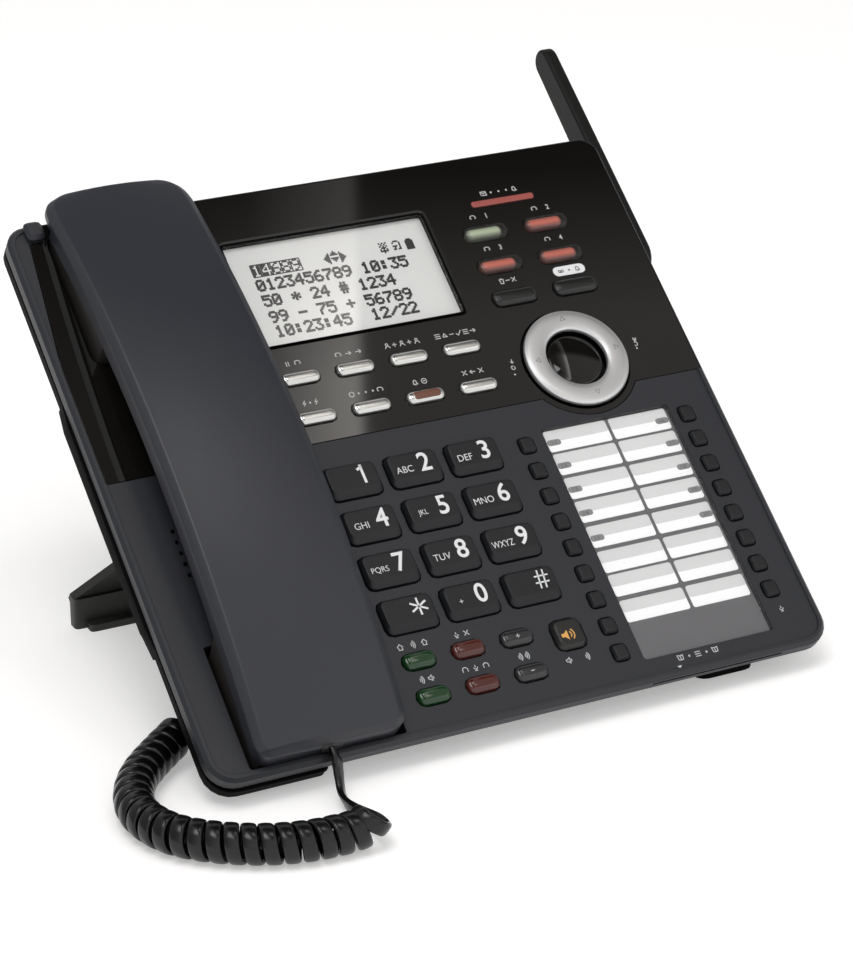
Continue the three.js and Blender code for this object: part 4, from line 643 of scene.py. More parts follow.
def addCeiling(values):
    # a card overhead that only gloss mirrors: bright on one side of a line, dim on the other
    start, end = [mirroredPlace(x, y, values["height"]) for x, y in values["edge"]]
    along = (end - start) / np.linalg.norm(end - start)
    across = np.array([-along[1], along[0], 0.0])
    if (mirroredPlace(*values["left"], values["height"]) - start) @ across > 0:
        across = -across
    middle, reach = (start + end) / 2, values["reach"]
    corners = [middle + along * reach * u + across * reach * v for u, v in ((-1, -1), (1, -1), (1, 1), (-1, 1))]
    material, tree, shader = newMaterial("ceiling card light")
    tree.nodes.remove(shader)
    layer = addNode(tree, "UVMap", uv_map="card")
    place = addNode(tree, "SeparateXYZ", {"Vector": layer.outputs["UV"]}).outputs
    side = mapNode(tree, place["Y"], 0.498, 0.502, 1.0, 0.0)
    fade = mapNode(tree, place["Y"], 0.455, 0.498, values["fade"], values["bright"])
    gain = mapNode(tree, place["X"], 0.47, 0.53, 1.0, values["frontGain"])
    lit = mathNode(tree, "MULTIPLY", side, mathNode(tree, "MULTIPLY", fade, gain))
    front = mapNode(tree, place["X"], 0.45, 0.51, values["dim"], values["dimFront"])
    gate = mapNode(tree, place["Y"], 0.40, 0.45, 0.04, 1.0)
    total = mathNode(tree, "ADD", lit, mathNode(tree, "MULTIPLY", front, gate))
    emission = addNode(tree, "Emission", {"Strength": total, "Color": values["colour"]})
    feed(tree, tree.nodes["Material Output"], {"Surface": emission.outputs["Emission"]})
    item = addSheet("ceiling card", corners, material)
    item.data.uv_layers.new(name="card").data.foreach_set("uv", [0, 0, 1, 0, 1, 1, 0, 1])
    item.visible_camera = item.visible_diffuse = item.visible_shadow = item.visible_transmission = False


addCeiling(ceiling)
scene.view_settings.view_transform = "Standard"
print("stage: camera, floor and lamps")

# the curly cord: one flat wire from the socket in the left wall to the plug in the handset
cord = {
    "width": 4.75,
    "thickness": 2.2,
    "radius": 5.2,
    "turns": 25.5,
    "rampTurns": 0.75,
    "straightStart": 3.0,
    "straightEnd": 3.2,
    "perTurn": 40,
    "sides": 16,
    "tailTwist": -1.35,
    "twistSteps": 60,
    "blendStart": (-113.9, -27.2, 0),
    "blendEnd": (-75.5, -36.0, 0),
    "route": [
        [-98.5, 42, 9.5], [-101.8, 42, 9.3], [-107.5, 39.6, 7.4], [-113.9, 34.9, 6.6], [-120.6, 28.9, 6.4],
        [-125.7, 23.2, 6.4], [-130.9, 14.2, 6.4], [-133.4, 5.2, 6.4], [-132.8, -4, 6.4],
        [-129.2, -13.1, 6.4], [-122.5, -20.8, 6.4], [-113.9, -27.2, 6.4], [-104.9, -31.8, 6.4],
        [-94.8, -34.7, 6.4], [-87.0, -35.4, 6.4], [-81.6, -35.6, 6.6], [-77.6, -35.6, 7.6], [-75.2, -35.4, 9.6],
    ],
    "tailRoute": [
        [-73.9, -19.5, 3.6], [-73.4, -13.6, 2.9], [-72.6, -8.6, 3.6], [-71.7, -5.3, 6.1], [-71.3, -3.6, 9],
    ],
}
plug = {"width": 7.6, "height": 5.0, "length": 11.5, "reach": 0.6, "front": 3.1, "z": 2.7,
        "softness": 0.5, "ends": ((0.62, 0.0), (0.3, 0.3), (0.02, 0.62)), "atWall": (-98.7, 42.0, 9.5)}


def cordLine(values):
    # the wire's centre: the axis of the coil, plus the coil's radius in a direction that turns round the
    # axis, then the straight stretch up to the handset. Also gives the outward direction at each point
    axis = smoothRoute(values["route"], 40)
    run = lengthAlong(axis)
    count = int(values["turns"] * values["perTurn"])
    turns = np.linspace(0, values["turns"], count + 1)
    at = values["straightStart"] + (run[-1] - values["straightStart"]) * turns / values["turns"]
    middle = placesAlong(axis, at)
    ahead = unit(placesAlong(axis, np.minimum(at + 0.3, run[-1])) - placesAlong(axis, at - 0.3))
    side = unit(np.cross([0.0, 0.0, 1.0], ahead))
    rise = np.cross(ahead, side)
    angle = (-turns * 2 * math.pi)[:, None]
    outwards = rise * np.cos(angle) + side * np.sin(angle)
    radius = values["radius"] * ease(turns / values["rampTurns"])[:, None]
    coil = middle + outwards * radius
    leave = np.cross(ahead[-1], outwards[-1])
    straight = coil[-1] + leave * values["straightEnd"]
    plugEnd = faceToRow([[face["cupX"], plug["front"] - plug["reach"] - 0.15, plug["z"]]])[0] * 1000
    plugEnd = plugEnd - np.array(face["shift"])
    way = -faceAxes[1]
    tail = smoothRoute([coil[-1], straight, *np.array(values["tailRoute"]),
                        plugEnd + way * values["straightEnd"], plugEnd], 16)
    tailOut = np.repeat(outwards[-1][None, :], len(tail) - 1, 0)
    lead = placesAlong(axis, np.linspace(0, values["straightStart"], 6)[:-1])
    leadOut = np.repeat(outwards[0][None, :], len(lead), 0)
    points = np.concatenate([lead, coil, tail[1:]])
    outs = np.concatenate([leadOut, outwards, tailOut])
    return points, outs, len(lead), len(coil)


def flatTube(points, outs, width, thickness, sides, twist):
    # a flat wire: across the way it runs its section is a rounded bar, wide along the coil's axis
    ahead = unit(np.gradient(points, axis=0))
    across = unit(np.cross(outs, ahead))
    through = np.cross(ahead, across)
    angle = roundAngles(sides)
    c, s = np.cos(angle), np.sin(angle)
    wide = np.sign(c) * np.abs(c) ** 0.62 * width / 2
    thick = np.sign(s) * np.abs(s) ** 0.8 * thickness / 2
    turned = across * np.cos(twist)[:, None] + through * np.sin(twist)[:, None]
    turnedThrough = through * np.cos(twist)[:, None] - across * np.sin(twist)[:, None]
    return (points[:, None, :] + turned[:, None, :] * wide[None, :, None]
            + turnedThrough[:, None, :] * thick[None, :, None])


cordPoints, cordOuts, leadCount, coilCount = cordLine(cord)
tailShare = np.clip((np.arange(len(cordPoints)) - leadCount - coilCount) / cord["twistSteps"], 0, 1)
cordRings = flatTube(cordPoints, cordOuts, cord["width"], cord["thickness"], cord["sides"],
                     cord["tailTwist"] * ease(tailShare))
cordShape = closedRings(cordRings)
cordPiece = makePiece("curly_cord", deskToRow(cordShape[0]), cordShape[1], "cord",
                      replaces=["handset_cord_coil", "handset_cord_tail"], sharp=60)


def plugShape(values, length):
    # a plug along y: a clear body with softened edges
    w, h = values["width"], values["height"]
    bodyRings = np.array([
        roundedBox(-w / 2 + inset, w / 2 - inset, -h / 2 + inset, h / 2 - inset, values["softness"], y, 3)
        for inset, y in (*values["ends"], (values["ends"][-1][0], length))
    ])
    return closedRings(bodyRings[:, :, [0, 2, 1]])


handsetPlug = plugShape(plug, plug["length"] + plug["reach"])
handsetPlugPoints = handsetPlug[0] + [face["cupX"], plug["front"] - plug["reach"], plug["z"]]
facePiece("handset_plug_clear", (handsetPlugPoints, handsetPlug[1]), "plug", "handset",
          ["handset_plug"], 35)
basePlug = plugShape(plug, plug["length"])
wallX, wallY, wallZ = plug["atWall"]
basePlugPoints = (basePlug[0][:, [1, 0, 2]] * [1, -1, 1] + [wallX, 0, 0]) @ faceAxes + [0, wallY, wallZ]
makePiece("base_plug_clear", deskToRow(basePlugPoints), basePlug[1], "plug", "base", ["base_plug"], 35)
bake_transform(cordPiece)
print("stage: cord")

# housings, stand and what is behind the face
for node, (name, look, *body) in {
    "top_housing": ("upper_housing_shell", "housing"),
    "bottom_housing": ("lower_housing_shell", "lower"),
    "display_fascia": ("glossy_panel", "gloss"),
    "desk_stand": ("desk_stand_plate", "stand"),
    "lcd_module": ("display_module", "steel"),
    "loudspeaker": ("loudspeaker_cone", "paperCone"),
    "key_mat": ("rubber_key_mat", "rubber"),
    "circuit_board": ("main_board", "board"),
    "hook_plunger": ("hook_switch_plunger", "key", "hook_body"),
    "nav_rocker_frame": ("ring_rocking_frame", "lower", "nav_rocker_body"),
    "handset_receiver": ("receiver_capsule", "steel", "handset"),
    "handset_microphone": ("microphone_capsule", "steel", "handset"),
}.items():
    cleanCopy(node, name, look, *body)
print("stage: housings")

# the handset: an arched back shell and an inner shell with the ear and mouth blocks
handset = {
    "front": 3.1,
    "back": 214.8,
    "width": 50.607,
    "peakY": 102.503,
    "peak": 18.9,
    "fallFront": 13.1,
    "fallBack": 15.4,
    "crown": 3.2,
    "shoulder": 1.9,
    "shoulderWidth": 2.6,
    "side": 6.0,
    "lipSide": 2.6,
    "cornerRadius": 4.8,
    "endChamfer": 1.8,
    "edgeSoftness": 0.45,
    "bow": [[0, 0.34], [0.03, 0.42], [0.07, 0.5], [0.13, 0.68], [0.2, 0.8], [0.29, 0.875], [0.4, 0.925],
            [0.61, 0.97], [1, 1]],
    "bowLength": 12.0,
    "earFront": 151.6, "earBack": 200.2, "earBottom": 12.3,
    "mouthFront": 4.2, "mouthBack": 43.79, "mouthBottom": 8.3, "toeLength": 5.4, "toeHeight": 3.6,
    "blockHalf": 24.596,
    "gripThickness": 12.4,
    "gripHalf": 18.99,
}


def edgeHeight(y):
    # the long edge is an arch: its peak less a fall that grows with the square of the way to the end
    toEnd = np.where(y < handset["peakY"], handset["peakY"] - handset["front"],
                     handset["back"] - handset["peakY"])
    fall = np.where(y < handset["peakY"], handset["fallFront"], handset["fallBack"])
    return handset["peak"] - fall * np.minimum(np.abs(y - handset["peakY"]) / toEnd, 1) ** 2


def halfWidth(y, half, front, back, radius):
    # rounded corners at the front, a bowed end at the back, full width between them
    bow = smoothRoute([[share * half, back - along * handset["bowLength"], 0]
                       for along, share in handset["bow"]], 12)
    order = np.argsort(bow[:, 1])
    atBack = np.interp(y, bow[order, 1], bow[order, 0])
    side = radius - np.clip(y - front, 0, radius)
    atFront = half - radius + np.sqrt(np.maximum(radius ** 2 - side ** 2, 0))
    return np.where(y > back - handset["bowLength"], atBack, np.minimum(atFront, half))


def handsetStations(front, back, radius):
    # places along the handset: close together round both ends, even between
    corner = front + radius * (1 - np.cos(np.linspace(0, math.pi / 2, 12)))
    bow = back - handset["bowLength"] * np.linspace(1, 0, 30) ** 1.8
    middle = np.linspace(front + radius, back - handset["bowLength"], 60)[1:-1]
    return np.concatenate([corner, middle, bow])


def backShellRings(values):
    # each section: a flat underside, upright sides, a sloped shoulder and a crown that is one low curve
    y = handsetStations(values["front"], values["back"], values["cornerRadius"])
    lip = values["earBack"]
    y = np.sort(np.concatenate([y, [lip - 0.05, lip + 0.05]]))
    half = halfWidth(y, values["width"] / 2, values["front"], values["back"], values["cornerRadius"])
    rise = np.clip(np.minimum(y - values["front"], values["back"] - y) / values["endChamfer"], 0, 1)
    edge = edgeHeight(y)
    bottom = edge - np.where(y > lip, values["lipSide"], values["side"])
    flatHalf = half - values["shoulderWidth"] * np.minimum(half / values["width"] * 2, 1)
    shoulder = edge + values["shoulder"] * rise
    crown = edge + values["crown"] * rise
    zero = np.zeros_like(y)
    across = np.linspace(1, -1, 15)
    columns = [(-half, bottom), (zero, bottom), (half, bottom), (half, edge)]
    columns += [(flatHalf * a, shoulder + (crown - shoulder) * (1 - a * a)) for a in across]
    columns += [(-half, edge)]
    rings = np.array([np.column_stack([face["cupX"] + x, y, z]) for x, z in columns])
    cuts = [0, 0.4, values["edgeSoftness"], values["edgeSoftness"]] + [0] * 13 + [values["edgeSoftness"]] * 2
    looped = np.concatenate([rings, rings[:1]])
    return softCorners(looped, cuts[:len(looped) - 2])[:-1].transpose(1, 0, 2)


def innerShellRings(values):
    # the underside follows the arch along the grip and drops to a block in each cup
    gap = 0.3
    y = np.concatenate([
        values["mouthFront"] + np.array([0.0, 0.6, 1.6, 3.0, 5.4, 9.0, 20.0, 32.0]),
        [values["mouthBack"] - 0.8, values["mouthBack"]],
        np.linspace(values["mouthBack"] + 1.8, values["earFront"] - 0.9, 36),
        values["earFront"] + np.array([0.15, 1.0, 8.0, 24.0, 40.0, 47.4]),
        [values["earBack"]],
    ])
    inMouth, inEar = y <= values["mouthBack"], y >= values["earFront"]
    toe = np.clip((y - values["mouthFront"]) / values["toeLength"], 0, 1)
    under = np.where(inMouth, -values["toeHeight"] - (values["mouthBottom"] - values["toeHeight"]) * toe,
                     np.where(inEar, -values["earBottom"], edgeHeight(y) - values["gripThickness"]))
    top = edgeHeight(y) - values["side"] - gap
    outer = halfWidth(y, values["width"] / 2 - gap, values["mouthFront"] - 1.5, values["back"],
                      values["cornerRadius"])
    lower = np.minimum(np.where(inMouth | inEar, values["blockHalf"], values["gripHalf"]), outer)
    under = np.minimum(under, top - 1.1)
    middle = under + (top - under) * 0.35
    wide = np.maximum(lower, outer - values["shoulderWidth"])
    columns = [(-lower, under), (lower, under), (wide, middle), (outer - gap, top), (-outer + gap, top),
               (-wide, middle)]
    rings = np.array([np.column_stack([face["cupX"] + x, y, z]) for x, z in columns])
    looped = np.concatenate([rings[-1:], rings, rings[:1]])
    return softCorners(looped, [0.5, 0.5, 0.8, 0, 0, 0.8])[1:-1].transpose(1, 0, 2)


facePiece("handset_back", closedRings(backShellRings(handset)), "handset", "handset",
          ["handset_back_shell"])
facePiece("handset_inner", closedRings(innerShellRings(handset)), "inner", "handset",
          ["handset_face_shell"])


holeShadeDiscs = {"hole": 1.1, "proud": 0.05, "deep": 0.2, "ear": (176.0, 6.5, 8), "mouth": (24.0, 3.6, 4)}


def makeHoleShadeDiscs(end, values):
    # dark discs as painted shade in place of round holes, in a ring about one in the middle
    (y, radius, count), bottom = values[end], -handset[f"{end}Bottom"]
    middles = [(0, 0)] + [(radius * math.cos(a), radius * math.sin(a)) for a in roundAngles(count)]
    profile = [[values["hole"], bottom - values["proud"]], [values["hole"], bottom + values["deep"]]]
    shapes = [closedRings(turnedShape(profile, face["cupX"] + dx, y + dy, 20)) for dx, dy in middles]
    facePiece(f"{end}_hole_shade_discs", joinShapes(shapes), "rubber", "handset")


makeHoleShadeDiscs("ear", holeShadeDiscs)
makeHoleShadeDiscs("mouth", holeShadeDiscs)
print("stage: handset")

# keys: a flange under the plate, straight sides up through it and a top that slopes to the front
keys = {
    "flange": 1.2,
    "flangeThickness": 1.0,
    "under": 0.3,
    "dial": {"size": (18.69, 12.10), "radius": 2.6, "rise": 2.3, "lip": 2.5, "edge": 0.8, "plate": 2.4,
             "first": (-29.04, 91.3), "step": (22.0, 16.6), "columns": 3},
    "function": {"size": (13.76, 4.60), "radius": 2.2, "rise": 1.9, "lip": 0.9, "edge": 0.9, "plate": 2.0,
                 "dome": 1.95, "first": (-31.8, 132.14), "step": (19.74, 15.29), "columns": 4},
    "line": {"size": (16.59, 6.00), "radius": 2.6, "rise": 1.7, "lip": 1.1, "edge": 1.1, "plate": 2.0,
             "dome": 2.3, "first": (54.4, 174.8), "step": (23.5, 13.4), "columns": 2},
    "command": {"size": (11.20, 5.60), "radius": 2.4, "rise": 1.8, "lip": 1.0, "edge": 1.0, "plate": 2.4,
                "dome": 2.1, "first": (-31.7, 25.44), "step": (17.3, 12.65), "columns": 3},
    "speaker": {"size": (10.80, 10.79), "radius": 2.6, "rise": 1.8, "lip": 1.1, "edge": 1.1, "plate": 2.4,
                "first": (20.49, 22.70), "step": (0, 0), "columns": 1},
    "memory": {"size": (5.41, 5.80), "radius": 1.2, "rise": 1.4, "lip": 0.7, "edge": 0.7, "plate": 2.4,
               "left": (35.11, 91.69, 9), "right": (96.49, 91.55, 8), "step": 9.90, "web": 1.0,
               "webSide": 1.0, "webEnd": 1.6, "webRadius": 0.4, "overlap": 0.5},
}


def capRings(x, y, kind, foot):
    # the cap alone, from its foot to its top, with softened shoulder and rim
    width, length = kind["size"]
    radius, edge, rise = kind["radius"], kind["edge"], kind["rise"]
    if "dome" in kind:
        # the top is a quarter of an ellipse from the shoulder inwards
        turns = np.linspace(0, math.pi / 2, 8)
        low = (rise - edge) / 2
        return np.array([boxRing(x, y, width, length, radius, foot)] + [
            boxRing(x, y, width, length, radius, low + (rise - low) * math.sin(t),
                    kind["dome"] * (1 - math.cos(t)))
            for t in turns])
    rings = [
        boxRing(x, y, width, length, radius, foot),
        boxRing(x, y, width, length, radius, (rise - edge) / 2),
        boxRing(x, y, width, length, radius, rise, edge, kind["lip"] - edge),
        boxRing(x, y, width, length, radius, rise, edge + 1.0, kind["lip"] - edge),
    ]
    return softCorners(rings, [0.3, 0.16])


def keyShape(x, y, kind):
    # the cap on its flange, as one body
    width, length = kind["size"]
    foot = -kind["plate"] - keys["under"]
    flange = [boxRing(x, y, width, length, kind["radius"], z, -keys["flange"])
              for z in (foot - keys["flangeThickness"], foot)]
    return closedRings(np.concatenate([flange, capRings(x, y, kind, foot)]))


def makeKeys(nodes, kind, lookNames):
    # a field of keys, with steps to the right and towards the front; gives the middle of each key
    (x, y), (across, down), columns = kind["first"], kind["step"], kind["columns"]
    places = [(x + across * (i % columns), y - down * (i // columns)) for i in range(len(nodes))]
    for node, place, look in zip(nodes, places, lookNames):
        facePiece(f"{node}_cap", keyShape(*place, kind), look, f"{node}_body", [node], 50)
    return places


def insertShape(x, y, kind, values):
    # the bar inside a clear key: a pill that stops short of the sides, its top a quarter of an ellipse
    width, length = kind["size"]
    low, high = -kind["plate"], kind["rise"] - values["below"]
    left, right = x - width / 2 + values["left"], x + width / 2 - values["right"]
    turns = np.linspace(0, math.pi / 2, 8)
    steps = [(0.0, low)] + [(values["dome"] * (1 - math.cos(t)), high - values["drop"] * (1 - math.sin(t)))
                            for t in turns]
    return closedRings(np.array([
        roundedBox(left + inset, right - inset, y - length / 2 + values["front"] + inset,
                   y + length / 2 - values["back"] - inset, max(values["radius"] - inset, 0.15), z, 6)
        for inset, z in steps]))


def makeInsert(node, x, y, kind, values, look):
    # the rim attribute, the mask of the painted rim shade, runs from 0 at the insert's sides to 1 on its top
    shape = insertShape(x, y, kind, values)
    piece = facePiece(f"{node}_insert", shape, look, f"{node}_body")
    up = 1 - (kind["rise"] - values["below"] - shape[0][:, 2]) / values["drop"]
    rim = 1 - np.sqrt(1 - np.clip(up, 0, 1) ** 2)
    piece.data.attributes.new("rim", "FLOAT", "POINT").data.foreach_set("value", rim.astype(np.float32))


dialNames = ["1", "2", "3", "4", "5", "6", "7", "8", "9", "star", "0", "hash"]
dialPlaces = makeKeys([f"dial_key_{name}" for name in dialNames], keys["dial"], ["key"] * 12)
functionNames = ["hold", "transfer", "conference", "menu", "flash", "redial", "do_not_disturb", "cancel"]
functionPlaces = makeKeys([f"function_key_{name}" for name in functionNames], keys["function"],
                          ["keySilver"] * 8)
inlay = {"left": 2.2, "right": 1.6, "front": 0.95, "back": 0.75, "radius": 1.2, "below": -0.06, "drop": 0.2,
         "dome": 1.0}
makeInsert("function_key_do_not_disturb", *functionPlaces[6], keys["function"], inlay, "brownInsert")
lineInsert = {"left": 0.8, "right": 2.3, "front": 1.0, "back": 0.9, "radius": 1.9, "below": 0.4, "drop": 1.0,
              "dome": 1.8}
lineNames = ["line_key_1", "line_key_2", "line_key_3", "line_key_4", "delete_key", "answer_key"]
linePlaces = makeKeys(lineNames, keys["line"], ["clearSmoke"] * 4 + ["blackKey"] * 2)
for name, place, look in zip(lineNames, linePlaces, ["greenInsert"] + ["redInsert"] * 3):
    makeInsert(name, *place, keys["line"], lineInsert, look)
commandNames = ["intercom_key", "mute_key", "volume_up_key", "page_key", "headset_key", "volume_down_key"]
commandPlaces = makeKeys(commandNames, keys["command"],
                         ["darkGreen", "darkRed", "volume"] * 2)
[(speakerX, speakerY)] = makeKeys(["speaker_key"], keys["speaker"], ["blackKey"])


def makeComb(side, kind):
    # small keys that stand on one springy web
    x, y, count = kind[side]
    foot = -kind["plate"] - keys["under"]
    places = [y - kind["step"] * i for i in range(count)]
    width, length = kind["size"]
    across, along = width / 2 + kind["webSide"], length / 2 + kind["webEnd"]
    outline = roundedBox(x - across, x + across, places[-1] - along, places[0] + along, kind["webRadius"], 0, 2)
    web = plate(outline, foot - kind["web"], foot)
    caps = [closedRings(capRings(x, place, kind, foot - kind["overlap"])) for place in places]
    node = f"memory_keys_{side}"
    facePiece(f"{node}_comb", joinShapes([web, *caps]), "key", f"{node}_body", [node], 50)


makeComb("left", keys["memory"])
makeComb("right", keys["memory"])
print("stage: keys")

# message lamp, display window and what shows in it
lamp = {"place": (66.2, 186.9), "bar": (24.2, 2.4, 0.9), "foot": (27.2, 5.4, 0.4), "footLow": -3.5,
        "footHigh": -2.05, "rings": [(-2.3, 0.0), (0.02, 0.0), (0.2, 0.2), (0.2, 0.6)]}
lampBar = [boxRing(*lamp["place"], *lamp["bar"], z, inset) for z, inset in lamp["rings"]]
lampFoot = plate(boxRing(*lamp["place"], *lamp["foot"], 0), lamp["footLow"], lamp["footHigh"])
lampShape = joinShapes([closedRings(softCorners(lampBar, [0.15, 0.2], 2)), lampFoot])
facePiece("message_lamp_bar", lampShape, "lamp", "base", ["message_lamp"], 50)

display = {
    "window": (-40.0, 34.8, 145.9, 187.2), "cornerRadius": 1.0,
    "panelTop": -2.6, "panelGrow": 0.3, "panelThickness": 0.09, "inkHeight": 0.03,
    "gasketInset": 0.14, "gasketWidth": 0.24, "gasketTop": -0.15,
    "lensInset": 0.3, "lensRadius": 1.2, "lensLow": -1.7, "lensHigh": -0.5,
    "firstX": -33.5, "pitch": 3.52, "dot": (0.6, 0.63), "textFill": 1.55, "markFill": 1.05, "lift": (1.33, 1.30),
    "rows": {169.7: "0123456789 10:35", 163.5: "50 * 24 # 1234", 157.0: "99 - 75 + 56789",
             151.3: "10:23:45  12/22"},
    "boxes": (-33.1, 175.5, 3.6, 5), "boxSigns": "14689", "boxHalf": 2.4, "boxLine": 0.42,
    "marks": {
        (-3.2, 175.5): [("<", -4.1, 0), (">", 2.5, 0), ("^", -0.8, 1.3), ("v", -0.8, -1.3)],
        (14.5, 175.5): [("n", 0, 0.6), ("c", 4.9, 0.6), ("b", 9.8, 0.6)],
    },
}
glyphs = {
    "0": (14, 17, 19, 21, 25, 17, 14), "1": (4, 12, 4, 4, 4, 4, 14), "2": (14, 17, 1, 2, 4, 8, 31),
    "3": (31, 2, 4, 2, 1, 17, 14), "4": (2, 6, 10, 18, 31, 2, 2), "5": (31, 16, 30, 1, 1, 17, 14),
    "6": (6, 8, 16, 30, 17, 17, 14), "7": (31, 1, 2, 4, 8, 8, 8), "8": (14, 17, 17, 14, 17, 17, 14),
    "9": (14, 17, 17, 15, 1, 2, 12), ":": (0, 12, 12, 0, 12, 12, 0), "/": (0, 1, 2, 4, 8, 16, 0),
    "-": (0, 0, 0, 31, 0, 0, 0), "+": (0, 4, 4, 31, 4, 4, 0), "*": (0, 4, 21, 14, 21, 4, 0),
    "#": (10, 10, 31, 10, 31, 10, 10), " ": (0, 0, 0, 0, 0, 0, 0), "<": (1, 3, 7, 15, 7, 3, 1),
    ">": (16, 24, 28, 30, 28, 24, 16), "^": (0, 4, 14, 31, 0, 0, 0), "v": (0, 31, 14, 4, 0, 0, 0),
    "b": (14, 31, 31, 31, 31, 31, 31), "c": (14, 17, 1, 29, 9, 27, 0), "n": (21, 10, 21, 14, 21, 31, 4),
}


def litDots(text, x, y, values, flip=False):
    # the middles of the dots of a line of signs; bit 16 is a sign's left column
    bits = np.array([glyphs[sign] for sign in text])
    lit = (bits[:, :, None] >> np.array([4, 3, 2, 1, 0])) & 1
    if flip:
        lit = 1 - lit
    sign, row, column = np.nonzero(lit)
    dotX, dotY = values["dot"]
    return np.column_stack([x + sign * values["pitch"] + (column + 0.5) * dotX, y + (3 - row) * dotY])


def dotBoxes(middles, width, length, low, high):
    # a small block over each middle
    corner = np.array([[-1, -1], [1, -1], [1, 1], [-1, 1]]) / 2 * [width, length]
    flat = middles[:, None, :] + corner
    lowRing = np.concatenate([flat, np.full(flat.shape[:2] + (1,), low)], -1)
    highRing = np.concatenate([flat, np.full(flat.shape[:2] + (1,), high)], -1)
    points = np.concatenate([lowRing, highRing], 1).reshape(-1, 3)
    box = np.array([[3, 2, 1, 0], [4, 5, 6, 7], [0, 1, 5, 4], [1, 2, 6, 5], [2, 3, 7, 6], [3, 0, 4, 7]])
    faces = (box[None] + np.arange(len(middles))[:, None, None] * 8).reshape(-1, 4)
    return points, [faces]


def makeDisplay(values):
    window, inwards = np.array(values["window"]), np.array([1, -1, 1, -1])
    top, radius = values["panelTop"], values["cornerRadius"]
    shape = plate(roundedBox(*(window - inwards * values["panelGrow"]), radius, 0, 3),
                  top - values["panelThickness"], top)
    facePiece("display_panel", shape, "display", "base")
    low, high = top - 0.01, top + values["inkHeight"]
    dots = [litDots(text, values["firstX"], y, values) for y, text in values["rows"].items()]
    x, y, step, count = values["boxes"]
    marks = [litDots(values["boxSigns"][i], x + step * i + 0.2, y, values, i < 2) for i in range(count)]
    frames = [ribbon(roundedBox(x + step * i - 0.02, x + step * (i + 1) - 0.1, y - values["boxHalf"],
                                y + values["boxHalf"], 0.1, 0, 1), values["boxLine"], low, high, True)
              for i in range(count)]
    for place, signsThere in values["marks"].items():
        marks += [litDots(sign, place[0] + dx, place[1] + dy, values) for sign, dx, dy in signsThere]
    shapes = [dotBoxes(np.concatenate(group), values["dot"][0] * fill, values["dot"][1] * fill, low, high)
              for group, fill in ((dots, values["textFill"]), (marks, values["markFill"]))]
    points, faces = joinShapes([*shapes, *frames])
    facePiece("display_signs", (points + [*values["lift"], 0], faces), "ink", "base")
    gasket = ribbon(roundedBox(*(window + inwards * values["gasketInset"]), radius, 0, 5),
                    values["gasketWidth"], low, values["gasketTop"], True)
    facePiece("display_gasket", gasket, "gasket", "base")
    left, right, front, back = window
    lens = boxRing((left + right) / 2, (front + back) / 2, right - left, back - front, values["lensRadius"], 0,
                   values["lensInset"])
    facePiece("display_lens", plate(lens, values["lensLow"], values["lensHigh"]), "window", "base",
              ["lcd_window"], 50)


makeDisplay(display)
print("stage: display")

# navigation ring round its fixed centre
ring = {
    "x": 65.8, "y": 119.99, "outer": 18.71, "inner": 10.89, "rise": 2.5, "lift": 0.5,
    "dome": [[1, 0.28], [0.985, 0.5], [0.95, 0.7], [0.87, 0.83], [0.7, 0.92], [0.4, 0.98], [0, 1],
             [-0.4, 0.99], [-0.7, 0.95], [-0.87, 0.88], [-0.96, 0.76], [-1, 0.55]],
    "capRadius": 9.99, "capRise": 0.7, "capCurve": 52.0, "capFoot": -6.6,
}


def makeRing(values):
    middle, half = (values["inner"] + values["outer"]) / 2, (values["outer"] - values["inner"]) / 2
    dome = np.array([[middle + half * across, values["rise"] * up, 0] for across, up in values["dome"]])
    dome = smoothRoute(dome, 5)[:, :2]
    profile = np.vstack([[values["inner"] + 0.15, values["lift"]], [values["outer"] - 0.15, values["lift"]],
                         [values["outer"], values["lift"] + 0.1], dome, [values["inner"], values["lift"] + 0.1]])
    shape = loopedRings(turnedShape(profile, values["x"], values["y"], 160))
    facePiece("navigation_ring", shape, "ring", "nav_ring_body", ["nav_ring"], 40)
    # the cap is a shallow dome: its height falls with the square of the way out
    radius = values["capRadius"]
    out = np.concatenate([[radius, radius, radius - 0.15, radius - 0.5], np.linspace(radius - 0.9, 0.5, 14)])
    up = values["capRise"] - out ** 2 / (2 * values["capCurve"])
    up[:4] = [values["capFoot"], up[4] - 0.6, up[4] - 0.25, up[4] - 0.04]
    shape = closedRings(turnedShape(np.column_stack([out, up]), values["x"], values["y"], 120))
    facePiece("navigation_centre", shape, "gloss", "base", ["nav_centre_cap"], 40)


makeRing(ring)
print("stage: ring")

# aerial: a flat blade that hinges at the right side
aerial = {
    "inside": 111.0, "outside": 116.0, "root": (162.3, -11.5), "rootRadius": 6.5, "tip": (247.3, -10.1),
    "tipRadius": 5.1, "edge": 0.7, "pinRadius": 2.5, "pinInside": 103.4,
}


def aerialRing(values, x, inset):
    # half circles about the root and the tip, joined by straight sides
    root = np.linspace(math.pi / 2, math.pi * 1.5, 25)
    tip = np.linspace(-math.pi / 2, math.pi / 2, 25)
    parts = [(values["tip"], values["tipRadius"], tip), (values["root"], values["rootRadius"], root)]
    flat = np.concatenate([np.column_stack([c[0] + (r - inset) * np.cos(a), c[1] + (r - inset) * np.sin(a)])
                           for c, r, a in parts])
    return np.column_stack([np.full(len(flat), x), flat])


